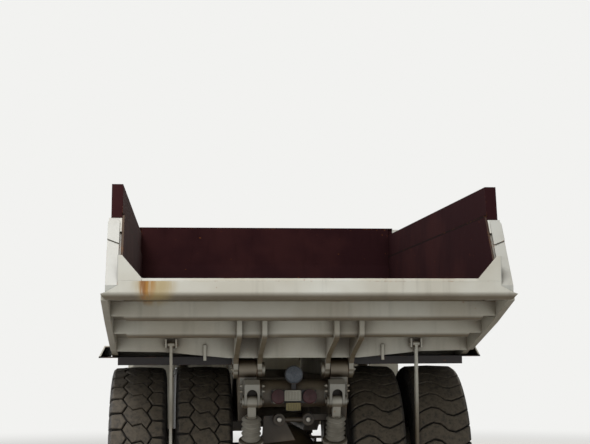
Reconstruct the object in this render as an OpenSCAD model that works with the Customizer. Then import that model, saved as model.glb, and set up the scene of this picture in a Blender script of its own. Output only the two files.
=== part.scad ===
// Rigid rear dump truck for quarries: two axles, twin rear tyres, tipping body hinged at the rail ends.
// +Y is forward, +X is to the right, and the ground is at Z = 0 below the middle of the truck.

/* [Truck] */
// Distance between the axles
wheelbase = 3500; // [3450:50:3900]
// Tail edge of the body to the rear axle
tail_overhang = 2400; // [2350:25:2600]
// Front axle to the front of the bumper
front_overhang = 1900; // [1800:25:2100]

/* [Wheels] */
// Outer diameter of a tyre over its lugs
tyre_d = 1640; // [1560:10:1680]
// Width of a tyre
tyre_w = 500; // [440:5:520]
// Diameter of the rim's bead seat
rim_d = 640; // [560:10:700]
// Width of the rim between its flanges
rim_w = 330; // [280:5:370]
// Height of the tread lugs
lug_h = 38; // [20:1:50]
// Number of lugs round each tyre
lug_n = 34; // [24:2:38]
// Width of the grooves between the lugs
lug_groove = 24; // [14:1:40]
// Distance between the centres of the twin tyres
twin_spacing = 575; // [560:5:640]
// Track of the rear axle, between the middles of the twins
rear_track = 2080; // [2060:10:2200]
// Track of the front axle, between the tyre centres
front_track = 2640; // [2600:10:2760]
// Distance between the kingpins
kingpin_track = 1800; // [1760:10:1840]

/* [Dump body] */
// Width of the body over its side rails
body_w = 3086; // [3000:10:3200]
// Width of the load space between the side linings
load_w = 2774; // [2700:10:2850]
// Thickness of the floor plate
floor_t = 20; // [10:1:30]
// Thickness of the side lining
lining_t = 14; // [8:1:20]
// Width of the slanted corner between floor and side
corner_w = 144; // [100:5:200]
// Height of the slanted corner between floor and side
corner_h = 168; // [100:5:220]
// Height of the floor at the tail edge
tail_z = 2303; // [2250:5:2400]
// Length of the rising tail floor
tail_l = 1450; // [1400:10:1500]
// Height of the floor where the tail floor starts to rise
knee_z = 1912; // [1890:5:1950]
// Tail edge to the front end of the floor
floor_l = 4300; // [4200:25:4400]
// Height of the floor at its front end
floor_front_z = 1800; // [1790:5:1850]
// Height where the front wall bends upright
wall_bend_z = 2750; // [2650:10:2850]
// Height of the top of the front wall
wall_top_z = 3178; // [3150:5:3250]
// How far the top of the front wall lies ahead of the floor's end
wall_lean = 500; // [400:10:550]
// Thickness of the front wall plate
wall_t = 16; // [10:1:25]
// Height of the side lining's top at the tail
side_top_rear_z = 2810; // [2790:5:2850]
// Height of the side lining's top at the front wall
side_top_front_z = 2850; // [2800:5:2900]
// Height of the sideboard's top at the tail
board_rear_z = 3037; // [3000:5:3080]
// Height of the sideboard's top at the front wall
board_front_z = 3100; // [3080:5:3150]
// Thickness of a sideboard
board_t = 85; // [60:5:90]
// Length of the cab guard ahead of the front wall
canopy_l = 2150; // [2000:25:2400]
// Rise of the cab guard over its length
canopy_rise = 110; // [80:5:150]
// Number of upright ribs on each side
rib_n = 6; // [4:1:8]

/* [Frame] */
// Centre of each frame rail from the middle of the truck
rail_x = 392; // [385:1:400]
// Width of a frame rail
rail_w = 150; // [130:2:156]
// Height of the top of the rails under the body
frame_top_z = 1560; // [1540:5:1570]
// Height of the underside of the rails behind the cab
frame_low_z = 1180; // [1150:10:1220]
// Height of the underside of the rails at the front axle
frame_front_low_z = 960; // [920:10:1000]
// Tail edge to the body's pivot pins
pivot_d = 1580; // [1570:5:1600]
// Height of the body's pivot pins
pivot_z = 1622; // [1610:1:1630]
// Diameter of the body's pivot pins
pivot_pin_d = 90; // [70:2:100]
// Diameter of the cross tube at the rail ends
cross_tube_d = 234; // [200:2:240]
// Height of the cross tube's centre
cross_tube_z = 1417; // [1400:1:1425]
// Running clearance round pins, on the radius
pin_play = 0.05; // [0.02:0.01:0.1]

/* [Hoist] */
// Gap between the rear tyres and the hoist's lower pins
hoist_clear = 160; // [155:5:200]
// Height of the hoist's lower pins
hoist_low_z = 640; // [620:10:660]
// How far the hoist leans forward from its lower to its upper pins
hoist_run = 440; // [400:10:460]
// Height of the hoist's upper pins
hoist_top_z = 1700; // [1690:5:1710]
// Outer diameter of the hoist's barrel
hoist_d = 180; // [160:2:200]
// Distance of each hoist cylinder from the middle of the truck
hoist_x = 940; // [900:5:960]

/* [Suspension] */
// Distance of each rear strut from the middle of the truck
strut_x = 360; // [350:2:370]
// Tail edge to the rear struts' upper pins
strut_top_d = 1460; // [1450:1:1465]
// Height of the rear struts' upper pins
strut_top_z = 1354; // [1340:2:1360]
// Tail edge to the rear struts' lower pins
strut_low_d = 1760; // [1740:5:1790]
// Height of the rear struts' lower pins
strut_low_z = 610; // [600:5:640]
// Diameter of a rear strut's barrel
strut_d = 170; // [150:2:180]
// Diameter of a front strut's cylinder
front_strut_d = 210; // [190:2:220]

/* [Cab and deck] */
// Height of the deck over the front wheels
deck_z = 1790; // [1770:5:1820]
// Thickness of the deck plates
deck_t = 30; // [20:2:50]
// Width over the decks
deck_w = 3100; // [3000:10:3180]
// Length of the cab
cab_l = 1500; // [1450:10:1600]
// Width of the cab
cab_w = 1030; // [980:10:1060]
// Height of the top of the cab's roof
cab_top_z = 3065; // [3000:5:3080]
// Thickness of the cab's walls
cab_wall = 45; // [35:1:60]
// Width of the engine hood
hood_w = 860; // [800:10:900]
// Height of the hood's top
hood_top_z = 2430; // [2350:10:2480]
// Angle of the hood's sloping top edges, as their width
hood_chamfer = 110; // [60:5:150]

/* [Hidden] */
$fn = 64;
overall_l = tail_overhang + wheelbase + front_overhang;
tail_y = -overall_l / 2;
nose_y = overall_l / 2;
axle_y = tail_y + tail_overhang;
front_axle_y = axle_y + wheelbase;
tyre_r = tyre_d / 2;
wheel_z = tyre_r;
half_w = body_w / 2;
half_load = load_w / 2;
floor_half = half_load - corner_w;
side_plate_t = 50;
beam_half = half_w - side_plate_t;
lining_out = half_load + lining_t;
gap = 0.3;

// Body profile, as distance ahead of the tail edge and height
floor_line = [[0, tail_z], [tail_l, knee_z], [floor_l, floor_front_z]];
wall_top_d = floor_l + wall_lean;
wall_bend_d = floor_l + wall_lean * 0.84;
tail_slope = (tail_z - knee_z) / tail_l;
main_slope = (knee_z - floor_front_z) / (floor_l - tail_l);
function floor_z(d) = d < tail_l ? tail_z - tail_slope * d : knee_z - main_slope * (d - tail_l);
function under_z(d) = floor_z(d) - floor_t;
function side_top_z(d) = side_top_rear_z + (side_top_front_z - side_top_rear_z) * d / wall_top_d;
function board_top_z(d) = board_rear_z + (board_front_z - board_rear_z) * d / wall_top_d;
// Top rail, set lower than the lining so that the sideboard stands behind its lip
board_seat = 35;
function rail_top_z(d) = side_top_z(d) - board_seat;
// Tops of the parts that hang under the floor plate
function hang_z(d) = under_z(d) - gap;

// Leaning rear edge of the sides, and the post that stands along it
post_foot = [0, tail_z - 50];
post_lean = 31.6;
post_t = 80;
post_w = 88;
post_in = lining_out + 18;
post_out = post_in + post_w;
post_apex_z = side_top_rear_z - 38;
post_foot_in_z = tail_z - 52;
post_foot_out_z = tail_z - 100;

// Cross beams under the body: rear face, front face, depth below the floor
BEAM_REAR = 0;
BEAM_FRONT = 1;
BEAM_DEPTH = 2;
tail_beams = [[470, 600, 150], [930, 1060, 150]];
floor_beams = [[1950, 2050, 95], [2450, 2550, 95], [2950, 3050, 95], [3450, 3550, 95], [3950, 4050, 95]];
bolster = [tail_l, tail_l + 110];
bolster_low_z = 1720;
bolster_wide = 1087;
bolster_narrow = 560;

// Hinge plates either side of each rail end
hinge_play = 6;
hinge_t = 40;
hinge_x = [rail_x - rail_w / 2 - hinge_play - hinge_t / 2, rail_x + rail_w / 2 + hinge_play + hinge_t / 2];
hinge_eye_r = 75;
// Mudguards under the floor beams
guard_z = 1733;
guard_t = 8;
guard_d0 = tail_overhang - 750;
guard_d1 = tail_overhang + 850;
guard_in_x = hinge_x[1] + hinge_t / 2 + 7;
tip_r = 90;
clevis_w = 130;
clevis_slot = 88;
clevis_boss_w = 168;
clevis_l = 120;
clevis_top_z = 1537;
strut_pin_d = 50;
hoist_pin_d = 70;
rail_in = rail_x - rail_w / 2;
rail_out = rail_x + rail_w / 2;
rail_end_d = strut_top_d + clevis_l / 2;
cross_tube_d_pos = rail_end_d + cross_tube_d / 2 + 2;

// Front end, as distance ahead of the front axle
frame_nose_y = nose_y - 200;
deck_front_y = nose_y - 350;
deck_rear_y = front_axle_y - 800;
deck_in_x = 470;
deck_out_x = deck_w / 2;
cab_rear_y = front_axle_y - 750;
cab_front_y = cab_rear_y + cab_l;
cab_out_x = -deck_out_x + 50;
cab_in_x = cab_out_x + cab_w;
cab_floor_z = deck_z + gap;
hood_rear_y = front_axle_y - 450;
radiator_l = 240;
radiator_rear_y = frame_nose_y - radiator_l;
hood_low_z = 1440;
kingpin_x = kingpin_track / 2;
wheel_x = front_track / 2;
twin_x = rear_track / 2;
steer_arm = 280;
steer_arm_z = 720;
tie_arm = 360;
tie_z = 640;
steer_rod_x = kingpin_x - steer_arm + 21;

// Hoist: the length from pin to pin with the body down, and its lean
hoist_low_d = tail_overhang + tyre_r + hoist_clear;
hoist_top_d = hoist_low_d + hoist_run;
hoist_rise = hoist_top_z - hoist_low_z;
hoist_len = sqrt(hoist_run * hoist_run + hoist_rise * hoist_rise);
hoist_lean = -atan2(hoist_run, hoist_rise);

cream = "#d8d3c4";
beige = "#b9ad98";
maroon = "#4a2427";
tyre_black = "#3a3835";
steel = "#8c8f92";
dark = "#2c2d2f";

// Places a shape drawn from the tail edge, where Y is the distance ahead of it
module from_tail() {
    translate([0, tail_y, 0]) children();
}

// Extrudes a side view outline, drawn as [distance, height], from x0 to x1
module along_x(x0, x1) {
    translate([x0, 0, 0]) rotate([90, 0, 90]) linear_extrude(x1 - x0) children();
}

// Extrudes a rear view outline, drawn as [x, height], from y0 to y1
module along_y(y0, y1) {
    translate([0, y1, 0]) rotate([90, 0, 0]) linear_extrude(y1 - y0) children();
}

module both() {
    children();
    mirror([1, 0, 0]) children();
}

// Draws a right-hand piece, or its mirror image for side = -1
module on_side(side) {
    if (side > 0) children();
    else mirror([1, 0, 0]) children();
}

module block(x0, x1, y0, y1, z0, z1) {
    translate([x0, y0, z0]) cube([x1 - x0, y1 - y0, z1 - z0]);
}

module rod_x(x0, x1, y, z, d) {
    translate([x0, y, z]) rotate([0, 90, 0]) cylinder(d = d, h = x1 - x0);
}

module rod_y(y0, y1, x, z, d) {
    translate([x, y1, z]) rotate([90, 0, 0]) cylinder(d = d, h = y1 - y0);
}

module rod_z(z0, z1, x, y, d) {
    translate([x, y, z0]) cylinder(d = d, h = z1 - z0);
}

// A round bar between two points
module rod_between(a, b, d) {
    v = b - a;
    len = norm(v);
    translate(a) rotate([0, acos(v[2] / len), atan2(v[1], v[0])]) cylinder(d = d, h = len);
}

// Frame: two box rails with raised tips round the body's pivot, cross tubes and brackets
module rail_outline() {
    polygon([
        [rail_end_d, clevis_top_z + 20], [pivot_d - tip_r + 8, pivot_z - 30], [pivot_d - 60, pivot_z + 60],
        [pivot_d + 70, pivot_z + 55], [pivot_d + 170, frame_top_z], [floor_l + 150, frame_top_z],
        [floor_l + 420, frame_top_z - 130], [frame_nose_y - tail_y, frame_top_z - 130],
        [frame_nose_y - tail_y, frame_front_low_z], [hoist_low_d + 520, frame_front_low_z],
        [hoist_low_d, frame_low_z], [rail_end_d + 140, frame_low_z], [rail_end_d + 60, cross_tube_z - 72],
        [rail_end_d, cross_tube_z - 72]
    ]);
    translate([pivot_d, pivot_z]) circle(r = tip_r);
}

module clevis() {
    half = clevis_w / 2;
    slot = clevis_slot / 2;
    arch_z = clevis_top_z - 83 - slot;
    from_tail() difference() {
        union() {
            along_x(strut_x - half, strut_x + half) {
                translate([strut_top_d, strut_top_z]) circle(d = clevis_l - 10);
                polygon([
                    [strut_top_d - clevis_l / 2 + 5, strut_top_z], [strut_top_d + clevis_l / 2 - 5, strut_top_z],
                    [rail_end_d, clevis_top_z - 90], [rail_end_d, clevis_top_z],
                    [strut_top_d - clevis_l / 2 + 35, clevis_top_z], [strut_top_d - clevis_l / 2, clevis_top_z - 40]
                ]);
            }
            rod_x(strut_x - clevis_boss_w / 2, strut_x + clevis_boss_w / 2, strut_top_d, strut_top_z, clevis_l - 22);
        }
        // Arched slot for the strut's upper eye
        along_y(strut_top_d - 100, rail_end_d + 1) {
            translate([strut_x - slot, strut_top_z - 100]) square([2 * slot, arch_z - strut_top_z + 100]);
            translate([strut_x, arch_z]) circle(r = slot);
        }
        rod_x(strut_x - 200, strut_x + 200, strut_top_d, strut_top_z, strut_pin_d);
    }
}

module main_frame() {
    color(beige) both() {
        difference() {
            from_tail() along_x(rail_in, rail_out) rail_outline();
            from_tail() rod_x(0, 1000, pivot_d, pivot_z, pivot_pin_d + 2 * pin_play);
        }
        clevis();
        // Pin of the rear strut's upper eye
        from_tail() rod_x(strut_x - clevis_boss_w / 2 - 14, strut_x + clevis_boss_w / 2 + 14, strut_top_d,
            strut_top_z, strut_pin_d);
    }
}

// Tubes and box between the rails
module cross_tubes() {
    color(beige) {
        from_tail() rod_x(-rail_in, rail_in, cross_tube_d_pos, cross_tube_z, cross_tube_d);
        from_tail() rod_x(-rail_in, rail_in, hoist_low_d + 700, 1150, 200);
        block(-rail_in, rail_in, frame_nose_y - 120, frame_nose_y, frame_front_low_z, frame_front_low_z + 160);
    }
}

// Outriggers with the hoist's lower pins
module hoist_brackets() {
    pin_end = hoist_x + 85;
    // The arms stop short of the barrels
    arm_end = hoist_x - hoist_d / 2 - 10;
    color(beige) both() from_tail() {
        rod_x(rail_out, arm_end, hoist_low_d, hoist_low_z, 160);
        along_x(rail_out, rail_out + 40) polygon([
            [hoist_low_d - 90, frame_low_z - 40], [hoist_low_d + 230, frame_low_z - 40],
            [hoist_low_d + 76, hoist_low_z], [hoist_low_d - 76, hoist_low_z]
        ]);
        along_x(rail_out + 30, arm_end - 20) polygon([
            [hoist_low_d - 20, hoist_low_z], [hoist_low_d + 20, hoist_low_z],
            [hoist_low_d + 20, hoist_low_z + 130], [hoist_low_d - 20, hoist_low_z + 130]
        ]);
        along_x(rail_in + 30, rail_out + 5) polygon([
            [hoist_low_d - 90, frame_low_z - 90], [hoist_low_d + 60, frame_low_z - 90],
            [hoist_low_d - 20, frame_low_z - gap], [hoist_low_d - 90, frame_low_z - gap]
        ]);
        rod_x(arm_end - 1, pin_end, hoist_low_d, hoist_low_z, hoist_pin_d);
        rod_x(hoist_x + 73, pin_end + 5, hoist_low_d, hoist_low_z, 120);
    }
}

// Front strut towers, each with a clamp round its strut
module strut_towers() {
    color(beige) both() difference() {
        union() {
            translate([0, front_axle_y, 0]) along_y(-130, 130) polygon([
                [rail_out, 1050], [kingpin_x - 60, 1200], [kingpin_x - 60, 1560], [rail_out, 1425]
            ]);
            rod_z(1200, 1560, kingpin_x, front_axle_y, front_strut_d + 80);
        }
        rod_z(1000, 1700, kingpin_x, front_axle_y, front_strut_d + 2 * gap);
    }
}

// Posts and arms under the decks
module deck_supports() {
    color(beige) both() for (y = [deck_rear_y + 20, deck_front_y - 90]) {
        block(rail_out, deck_in_x + 520, y, y + 70, deck_z - deck_t - 90, deck_z - deck_t);
        block(rail_out, deck_in_x + 60, y, y + 70, frame_top_z - 340, deck_z - deck_t);
    }
}

tow_x = 560;
tow_z = 735;
tow_bore = 62;

module front_bumper() {
    color(cream) difference() {
        union() {
            along_x(-1020, 1020) polygon([
                [nose_y - 170, 800], [nose_y - 40, 800], [nose_y, 860], [nose_y, 1180], [nose_y - 40, 1240],
                [nose_y - 170, 1240]
            ]);
            both() block(rail_in, rail_out, frame_nose_y, nose_y - 160, frame_front_low_z, 1200);
            // Towing lugs under the bumper
            both() along_x(tow_x - 20, tow_x + 20) {
                translate([nose_y - 100, tow_z]) circle(r = 60);
                polygon([
                    [nose_y - 165, tow_z], [nose_y - 40, tow_z], [nose_y - 45, 830], [nose_y - 165, 830]
                ]);
            }
        }
        rod_x(-tow_x - 50, tow_x + 50, nose_y - 100, tow_z, tow_bore);
        both() block(180, 480, nose_y - 60, nose_y + 10, 920, 1120);
    }
}

module radiator_grille() {
    w = hood_w / 2 + 10;
    bar_n = 11;
    z0 = frame_top_z - 130;
    z1 = hood_top_z - 20;
    color(cream) difference() {
        block(-w, w, radiator_rear_y, frame_nose_y + 20, z0, z1);
        block(-w + 70, w - 70, radiator_rear_y + 110, frame_nose_y + 40, z0 + 80, z1 - 80);
    }
    color(dark) for (i = [0:bar_n - 1]) {
        z = z0 + 80 + (i + 0.5) * (z1 - z0 - 160) / bar_n;
        y = frame_nose_y - 30;
        along_x(-w + 65, w - 65) polygon([[y - 30, z + 20], [y + 30, z - 24], [y + 30, z - 14], [y - 30, z + 30]]);
    }
}

module hood_outline(inset) {
    w = hood_w / 2 - inset;
    top = hood_top_z - inset;
    cut = hood_chamfer - inset * 0.4;
    polygon([[-w, hood_low_z], [-w, top - cut], [-w + cut, top], [w - cut, top], [w, top - cut], [w, hood_low_z]]);
}

module engine_hood() {
    louvre_n = 7;
    sheet = 6;
    color(cream) {
        difference() {
            along_y(hood_rear_y, radiator_rear_y) hood_outline(0);
            along_y(hood_rear_y + sheet, radiator_rear_y + 1) translate([0, -1]) hood_outline(sheet);
            // Opening in the rear wall for the gearbox
            block(-bell_d / 2 - 10, bell_d / 2 + 10, hood_rear_y - 1, hood_rear_y + sheet + 1, hood_low_z - 1,
                bell_z + bell_d / 2 + 15);
            both() for (i = [0:louvre_n - 1])
                block(hood_w / 2 - sheet - 2, hood_w / 2 + 2, hood_rear_y + 300 + i * 120, hood_rear_y + 350 + i * 120,
                    1850, 2180);
        }
        // Each louvre leans out over its slot from the sheet ahead of it
        both() for (i = [0:louvre_n - 1])
            translate([hood_w / 2, hood_rear_y + 300 + i * 120, 1845]) linear_extrude(height = 340)
                polygon([[-3, 56], [18, 2], [22, 4], [3, 62], [-3, 62]]);
    }
}

bell_d = 620;
bell_z = 1250;

module powertrain() {
    color(steel) {
        // Engine, gearbox and propeller shaft
        block(-300, 300, hood_rear_y + 60, radiator_rear_y - 160, 1010, 2000);
        rod_y(hood_rear_y - 140, hood_rear_y + 60, 0, bell_z, bell_d);
        block(-240, 240, hood_rear_y - 900, hood_rear_y - 139, 960, 1480);
        both() block(200, rail_in, hood_rear_y + 200, hood_rear_y + 320, 1100, 1180);
        both() block(200, rail_in, radiator_rear_y - 400, radiator_rear_y - 280, 1100, 1180);
        // Fan in front of the engine
        rod_y(radiator_rear_y - 161, radiator_rear_y - 60, 0, 1750, 90);
        rod_y(radiator_rear_y - 100, radiator_rear_y - 60, 0, 1750, 640);
    }
}

module front_decks() {
    color(cream) both() {
        block(deck_in_x, deck_out_x, deck_rear_y, deck_front_y, deck_z - deck_t, deck_z);
        block(deck_out_x - 12, deck_out_x, deck_rear_y, deck_front_y, deck_z - 150, deck_z - deck_t);
        block(deck_in_x, deck_out_x, deck_front_y - 12, deck_front_y, 1290, deck_z - deck_t);
        block(deck_in_x, deck_out_x, deck_rear_y, deck_rear_y + 12, deck_z - 330, deck_z - deck_t);
    }
}

module access_ladders() {
    y = deck_front_y;
    low_z = 480;
    rung_n = 5;
    color(cream) both() {
        for (x = [1110, 1450]) block(x - 15, x + 15, y, y + 70, low_z, deck_z);
        for (i = [0:rung_n - 1]) {
            z = low_z + 30 + i * (deck_z - low_z - 60) / (rung_n - 1);
            block(1125, 1435, y + 5, y + 65, z - 15, z + 15);
        }
        block(1010, 1095, nose_y - 250, nose_y - 180, 1000, 1060);
        block(1095, 1125, nose_y - 350, nose_y - 180, 1000, 1060);
    }
}

module rail_loop(pts, d) {
    for (i = [0:len(pts) - 2]) rod_between(pts[i], pts[i + 1], d);
    for (p = pts) translate(p) sphere(d = d, $fn = 24);
}

rail_tube_d = 34;

module handrails() {
    d = rail_tube_d;
    z = deck_z + d / 2 + gap;
    top = deck_z + 950;
    x_out = deck_out_x - 40;
    y_front = deck_front_y - 40;
    color(cream) {
        rail_loop([[x_out, y_front, z], [x_out, y_front, top], [deck_in_x + 60, y_front, top], [deck_in_x + 60, y_front, z]], d);
        rail_loop([[x_out, y_front, top], [x_out, deck_rear_y + 60, top], [x_out, deck_rear_y + 60, z]], d);
        rail_loop([[x_out, y_front, z + 450], [x_out, deck_rear_y + 60, z + 450]], d);
        rail_loop([[-x_out, y_front, z], [-x_out, y_front, top], [-1130, y_front, top], [-1130, y_front, z]], d);
        rail_loop([[-deck_in_x - 60, y_front, z], [-deck_in_x - 60, y_front, top], [-760, y_front, top], [-760, y_front, z]], d);
        for (x = [x_out, deck_in_x + 60, -x_out, -1130, -deck_in_x - 60, -760])
            rod_z(deck_z, deck_z + 12, x, y_front, 80);
        rod_z(deck_z, deck_z + 12, x_out, deck_rear_y + 60, 80);
    }
}

// Cab
door_front_y = cab_front_y - 160;
door_l = 760;
door_rear_y = door_front_y - door_l;
door_low_z = cab_floor_z + 60;
door_top_z = cab_top_z - 130;
sill_z = cab_floor_z + 520;
roof_t = 60;
wall_top = cab_top_z - roof_t;
hinge_d = 30;
door_play = 8;

module cab_side_outline() {
    polygon([
        [cab_rear_y, cab_floor_z], [cab_front_y, cab_floor_z], [cab_front_y, sill_z - 60],
        [cab_front_y - 120, wall_top], [cab_rear_y, wall_top]
    ]);
}

module cab_shell() {
    w = cab_wall;
    color(cream) difference() {
        along_x(cab_out_x, cab_in_x) cab_side_outline();
        // Inside
        along_x(cab_out_x + w, cab_in_x - w) polygon([
            [cab_rear_y + w, cab_floor_z + w], [cab_front_y - w, cab_floor_z + w], [cab_front_y - w, sill_z - 60],
            [cab_front_y - 120 - w, wall_top + 1], [cab_rear_y + w, wall_top + 1]
        ]);
        // Door opening
        block(cab_out_x - 10, cab_out_x + w + 10, door_rear_y, door_front_y, door_low_z, door_top_z);
        // Windows: right side, rear and windscreen, and the quarter light behind the door
        block(cab_in_x - w - 10, cab_in_x + 10, cab_rear_y + 150, cab_front_y - 260, sill_z + 40, wall_top - 90);
        block(cab_out_x + 140, cab_in_x - 140, cab_rear_y - 10, cab_rear_y + w + 10, sill_z + 40, wall_top - 90);
        block(cab_out_x + 90, cab_in_x - 90, cab_front_y - 200, cab_front_y + 10, sill_z - 20, wall_top - 90);
        block(cab_out_x - 10, cab_out_x + w + 10, cab_rear_y + 110, door_rear_y - 80, sill_z + 40, wall_top - 90);
    }
    color(cream) door_pins();
}

module cab_roof() {
    color(cream) difference() {
        along_x(cab_out_x - 20, cab_in_x + 20) polygon([
            [cab_rear_y - 20, wall_top + gap], [cab_front_y - 60, wall_top + gap], [cab_front_y - 40, cab_top_z - 25],
            [cab_front_y - 80, cab_top_z], [cab_rear_y, cab_top_z], [cab_rear_y - 20, cab_top_z - 20]
        ]);
        block(cab_out_x + cab_wall, cab_in_x - cab_wall, cab_rear_y + cab_wall, cab_front_y - 180, wall_top - 1,
            cab_top_z - 22);
    }
}

module cab_glass() {
    w = cab_wall;
    t = 8;
    color("#8fa3a8") {
        // Set into the middle of each wall, tight to the window's edges
        block(cab_in_x - w / 2 - t / 2, cab_in_x - w / 2 + t / 2, cab_rear_y + 150, cab_front_y - 260, sill_z + 40, wall_top - 90);
        block(cab_out_x + 140, cab_in_x - 140, cab_rear_y + w / 2 - t / 2, cab_rear_y + w / 2 + t / 2, sill_z + 40, wall_top - 90);
        block(cab_out_x + w / 2 - t / 2, cab_out_x + w / 2 + t / 2, cab_rear_y + 110, door_rear_y - 80, sill_z + 40, wall_top - 90);
        intersection() {
            block(cab_out_x + 90, cab_in_x - 90, cab_front_y - 200, cab_front_y + 10, sill_z - 20, wall_top - 90);
            along_x(cab_out_x + 90, cab_in_x - 90) polygon([
                [cab_front_y - w / 2 - t / 2, sill_z - 90], [cab_front_y - w / 2 + t / 2, sill_z - 90],
                [cab_front_y - w / 2 + t / 2, sill_z - 60], [cab_front_y - 120 - w / 2 + t / 2, wall_top],
                [cab_front_y - 120 - w / 2 - t / 2, wall_top], [cab_front_y - w / 2 - t / 2, sill_z - 60]
            ]);
        }
    }
}

// The door turns about an upright pin just outside its front edge
door_hinge_x = cab_out_x - hinge_d / 2 - 4;
door_hinge_y = door_front_y + 6;

module cab_door() {
    p = door_play;
    x0 = cab_out_x + 2;
    color(cream) difference() {
        union() {
            block(x0, x0 + 36, door_rear_y + p, door_front_y - p, door_low_z + p, door_top_z - p);
            for (z = [door_low_z + 180, door_top_z - 260]) {
                block(door_hinge_x - 4, cab_out_x - 3, door_front_y - 120, door_hinge_y, z, z + 60);
                block(door_hinge_x - 4, x0 + 10, door_front_y - 120, door_front_y - p, z, z + 60);
                rod_z(z, z + 60, door_hinge_x, door_hinge_y, hinge_d);
            }
            // Handle
            block(x0 - 40, x0 + 1, door_rear_y + 60, door_rear_y + 80, sill_z - 60, sill_z - 40);
            block(x0 - 40, x0 + 1, door_rear_y + 180, door_rear_y + 200, sill_z - 60, sill_z - 40);
            block(x0 - 52, x0 - 38, door_rear_y + 60, door_rear_y + 200, sill_z - 62, sill_z - 38);
        }
        block(x0 - 5, x0 + 50, door_rear_y + 100, door_front_y - 100, sill_z + 40, door_top_z - 100);
        for (z = [door_low_z + 180, door_top_z - 260])
            rod_z(z - 10, z + 70, door_hinge_x, door_hinge_y, 16 + 2 * pin_play);
    }
}

module cab_door_glass() {
    x0 = cab_out_x + 16;
    color("#8fa3a8") block(x0, x0 + 8, door_rear_y + 100, door_front_y - 100, sill_z + 40, door_top_z - 100);
}

// Pins of the door, each on a bracket in front of the door's edge
module door_pins() {
    for (z = [door_low_z + 180, door_top_z - 260]) {
        rod_z(z - 24, z - 4, door_hinge_x, door_hinge_y, hinge_d);
        block(door_hinge_x, cab_out_x + 5, door_hinge_y, door_hinge_y + 60, z - 24, z - 4);
        rod_z(z - 24, z + 66, door_hinge_x, door_hinge_y, 16);
    }
}

module driver_seat() {
    x = (cab_out_x + cab_in_x) / 2;
    y = cab_rear_y + 330;
    z = cab_floor_z + cab_wall;
    color(dark) {
        block(x - 170, x + 170, y - 130, y + 170, z, z + 190);
        along_x(x - 245, x + 245) polygon([
            [y - 200, z + 190], [y + 270, z + 190], [y + 290, z + 230], [y + 270, z + 310], [y - 140, z + 300],
            [y - 210, z + 780], [y - 250, z + 800], [y - 280, z + 770]
        ]);
    }
}

module driver_controls() {
    x = (cab_out_x + cab_in_x) / 2;
    z = cab_floor_z + cab_wall;
    y = cab_front_y - cab_wall;
    hub = [x, y - 430, z + 640];
    color(dark) {
        along_x(cab_out_x + cab_wall + 40, cab_in_x - cab_wall) polygon([
            [y, z + 200], [y, z + 400], [y - 90, z + 430], [y - 250, z + 400], [y - 260, z + 330], [y - 60, z + 200]
        ]);
        rod_between([x, y - 150, z + 300], hub, 60);
        translate(hub) rotate([35, 0, 0]) {
            rotate_extrude($fn = 48) translate([210, 0]) circle(d = 30, $fn = 24);
            rotate([0, 90, 0]) cylinder(d = 24, h = 410, center = true);
            cylinder(d = 90, h = 40, center = true);
        }
        block(x + 150, x + 190, y - 90, y - 60, z, z + 210);
    }
}

module tank(side, top_z, low_z) {
    x0 = 640;
    x1 = 1460;
    r = 90;
    rear_d = hoist_top_d + 200;
    on_side(side) from_tail() {
        along_y(rear_d, rear_d + 760) {
            translate([x0 + r, low_z]) square([x1 - x0 - 2 * r, top_z - low_z]);
            translate([x0, low_z + r]) square([x1 - x0, top_z - low_z - 2 * r]);
            for (x = [x0 + r, x1 - r], z = [low_z + r, top_z - r]) translate([x, z]) circle(r = r);
        }
        // Hangers on the frame rail, and the filler cap
        for (d = [160, 540]) block(rail_out, x0 + 10, rear_d + d, rear_d + d + 80, 1060, 1130);
        rod_z(top_z - 1, top_z + 40, x1 - 210, rear_d + 630, 130);
    }
}

hydraulic_top_z = guard_z - 38;

module fuel_tank() {
    color(cream) tank(1, 1340, 640);
}

module hydraulic_tank() {
    color(cream) tank(-1, hydraulic_top_z, 760);
}

module air_cleaner() {
    x = 1130;
    y = deck_rear_y + 480;
    color(cream) {
        rod_z(deck_z + 60, deck_z + 700, x, y, 400);
        rod_z(deck_z + 700, deck_z + 760, x, y, 150);
        rod_z(deck_z + 760, deck_z + 900, x, y, 320);
        for (s = [-1, 1]) block(x - 60, x + 60, y + s * 150 - 15, y + s * 150 + 15, deck_z, deck_z + 70);
        rod_x(hood_w / 2, x, y, deck_z + 300, 160);
    }
}

module exhaust() {
    x = 660;
    y0 = deck_rear_y + 800;
    z = deck_z + 240;
    color(steel) {
        rod_y(y0, y0 + 850, x, z, 250);
        rod_x(hood_w / 2, x, y0 + 700, z, 110);
        rod_z(z, deck_z + 1050, x, y0 + 150, 120);
        for (y = [y0 + 80, y0 + 720]) block(x - 70, x + 70, y, y + 40, deck_z, z - 60);
    }
}

module headlamps() {
    y = deck_front_y;
    color(steel) both() for (x = [620, 860]) {
        rod_y(y, y + 70, x, 1500, 190);
        translate([x, y + 69, 1500]) rotate([-90, 0, 0]) cylinder(d1 = 180, d2 = 150, h = 25);
    }
}

module mirrors() {
    x = deck_out_x - 40;
    y = deck_front_y - 40;
    color(dark) both() {
        // Clamp on the handrail's post, and the arm
        block(x + rail_tube_d / 2 + gap, x + 47, y - 20, y + 20, deck_z + 860, deck_z + 910);
        rod_between([x + 31, y, deck_z + 882], [x + 57, y + 68, deck_z + 1010], 20);
        block(x - 60, x + 80, y + 55, y + 80, deck_z + 700, deck_z + 1060);
    }
}

// Front struts: fixed cylinders whose rods are also the kingpins
knuckle_top_z = 960;
strut_rod_d = 120;
socket_depth = 180;

module front_struts() {
    color(steel) both() {
        rod_z(1180, 1690, kingpin_x, front_axle_y, front_strut_d);
        rod_z(1690, 1720, kingpin_x, front_axle_y, front_strut_d + 50);
        rod_z(knuckle_top_z - socket_depth + 1, 1190, kingpin_x, front_axle_y, strut_rod_d);
    }
}

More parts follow.
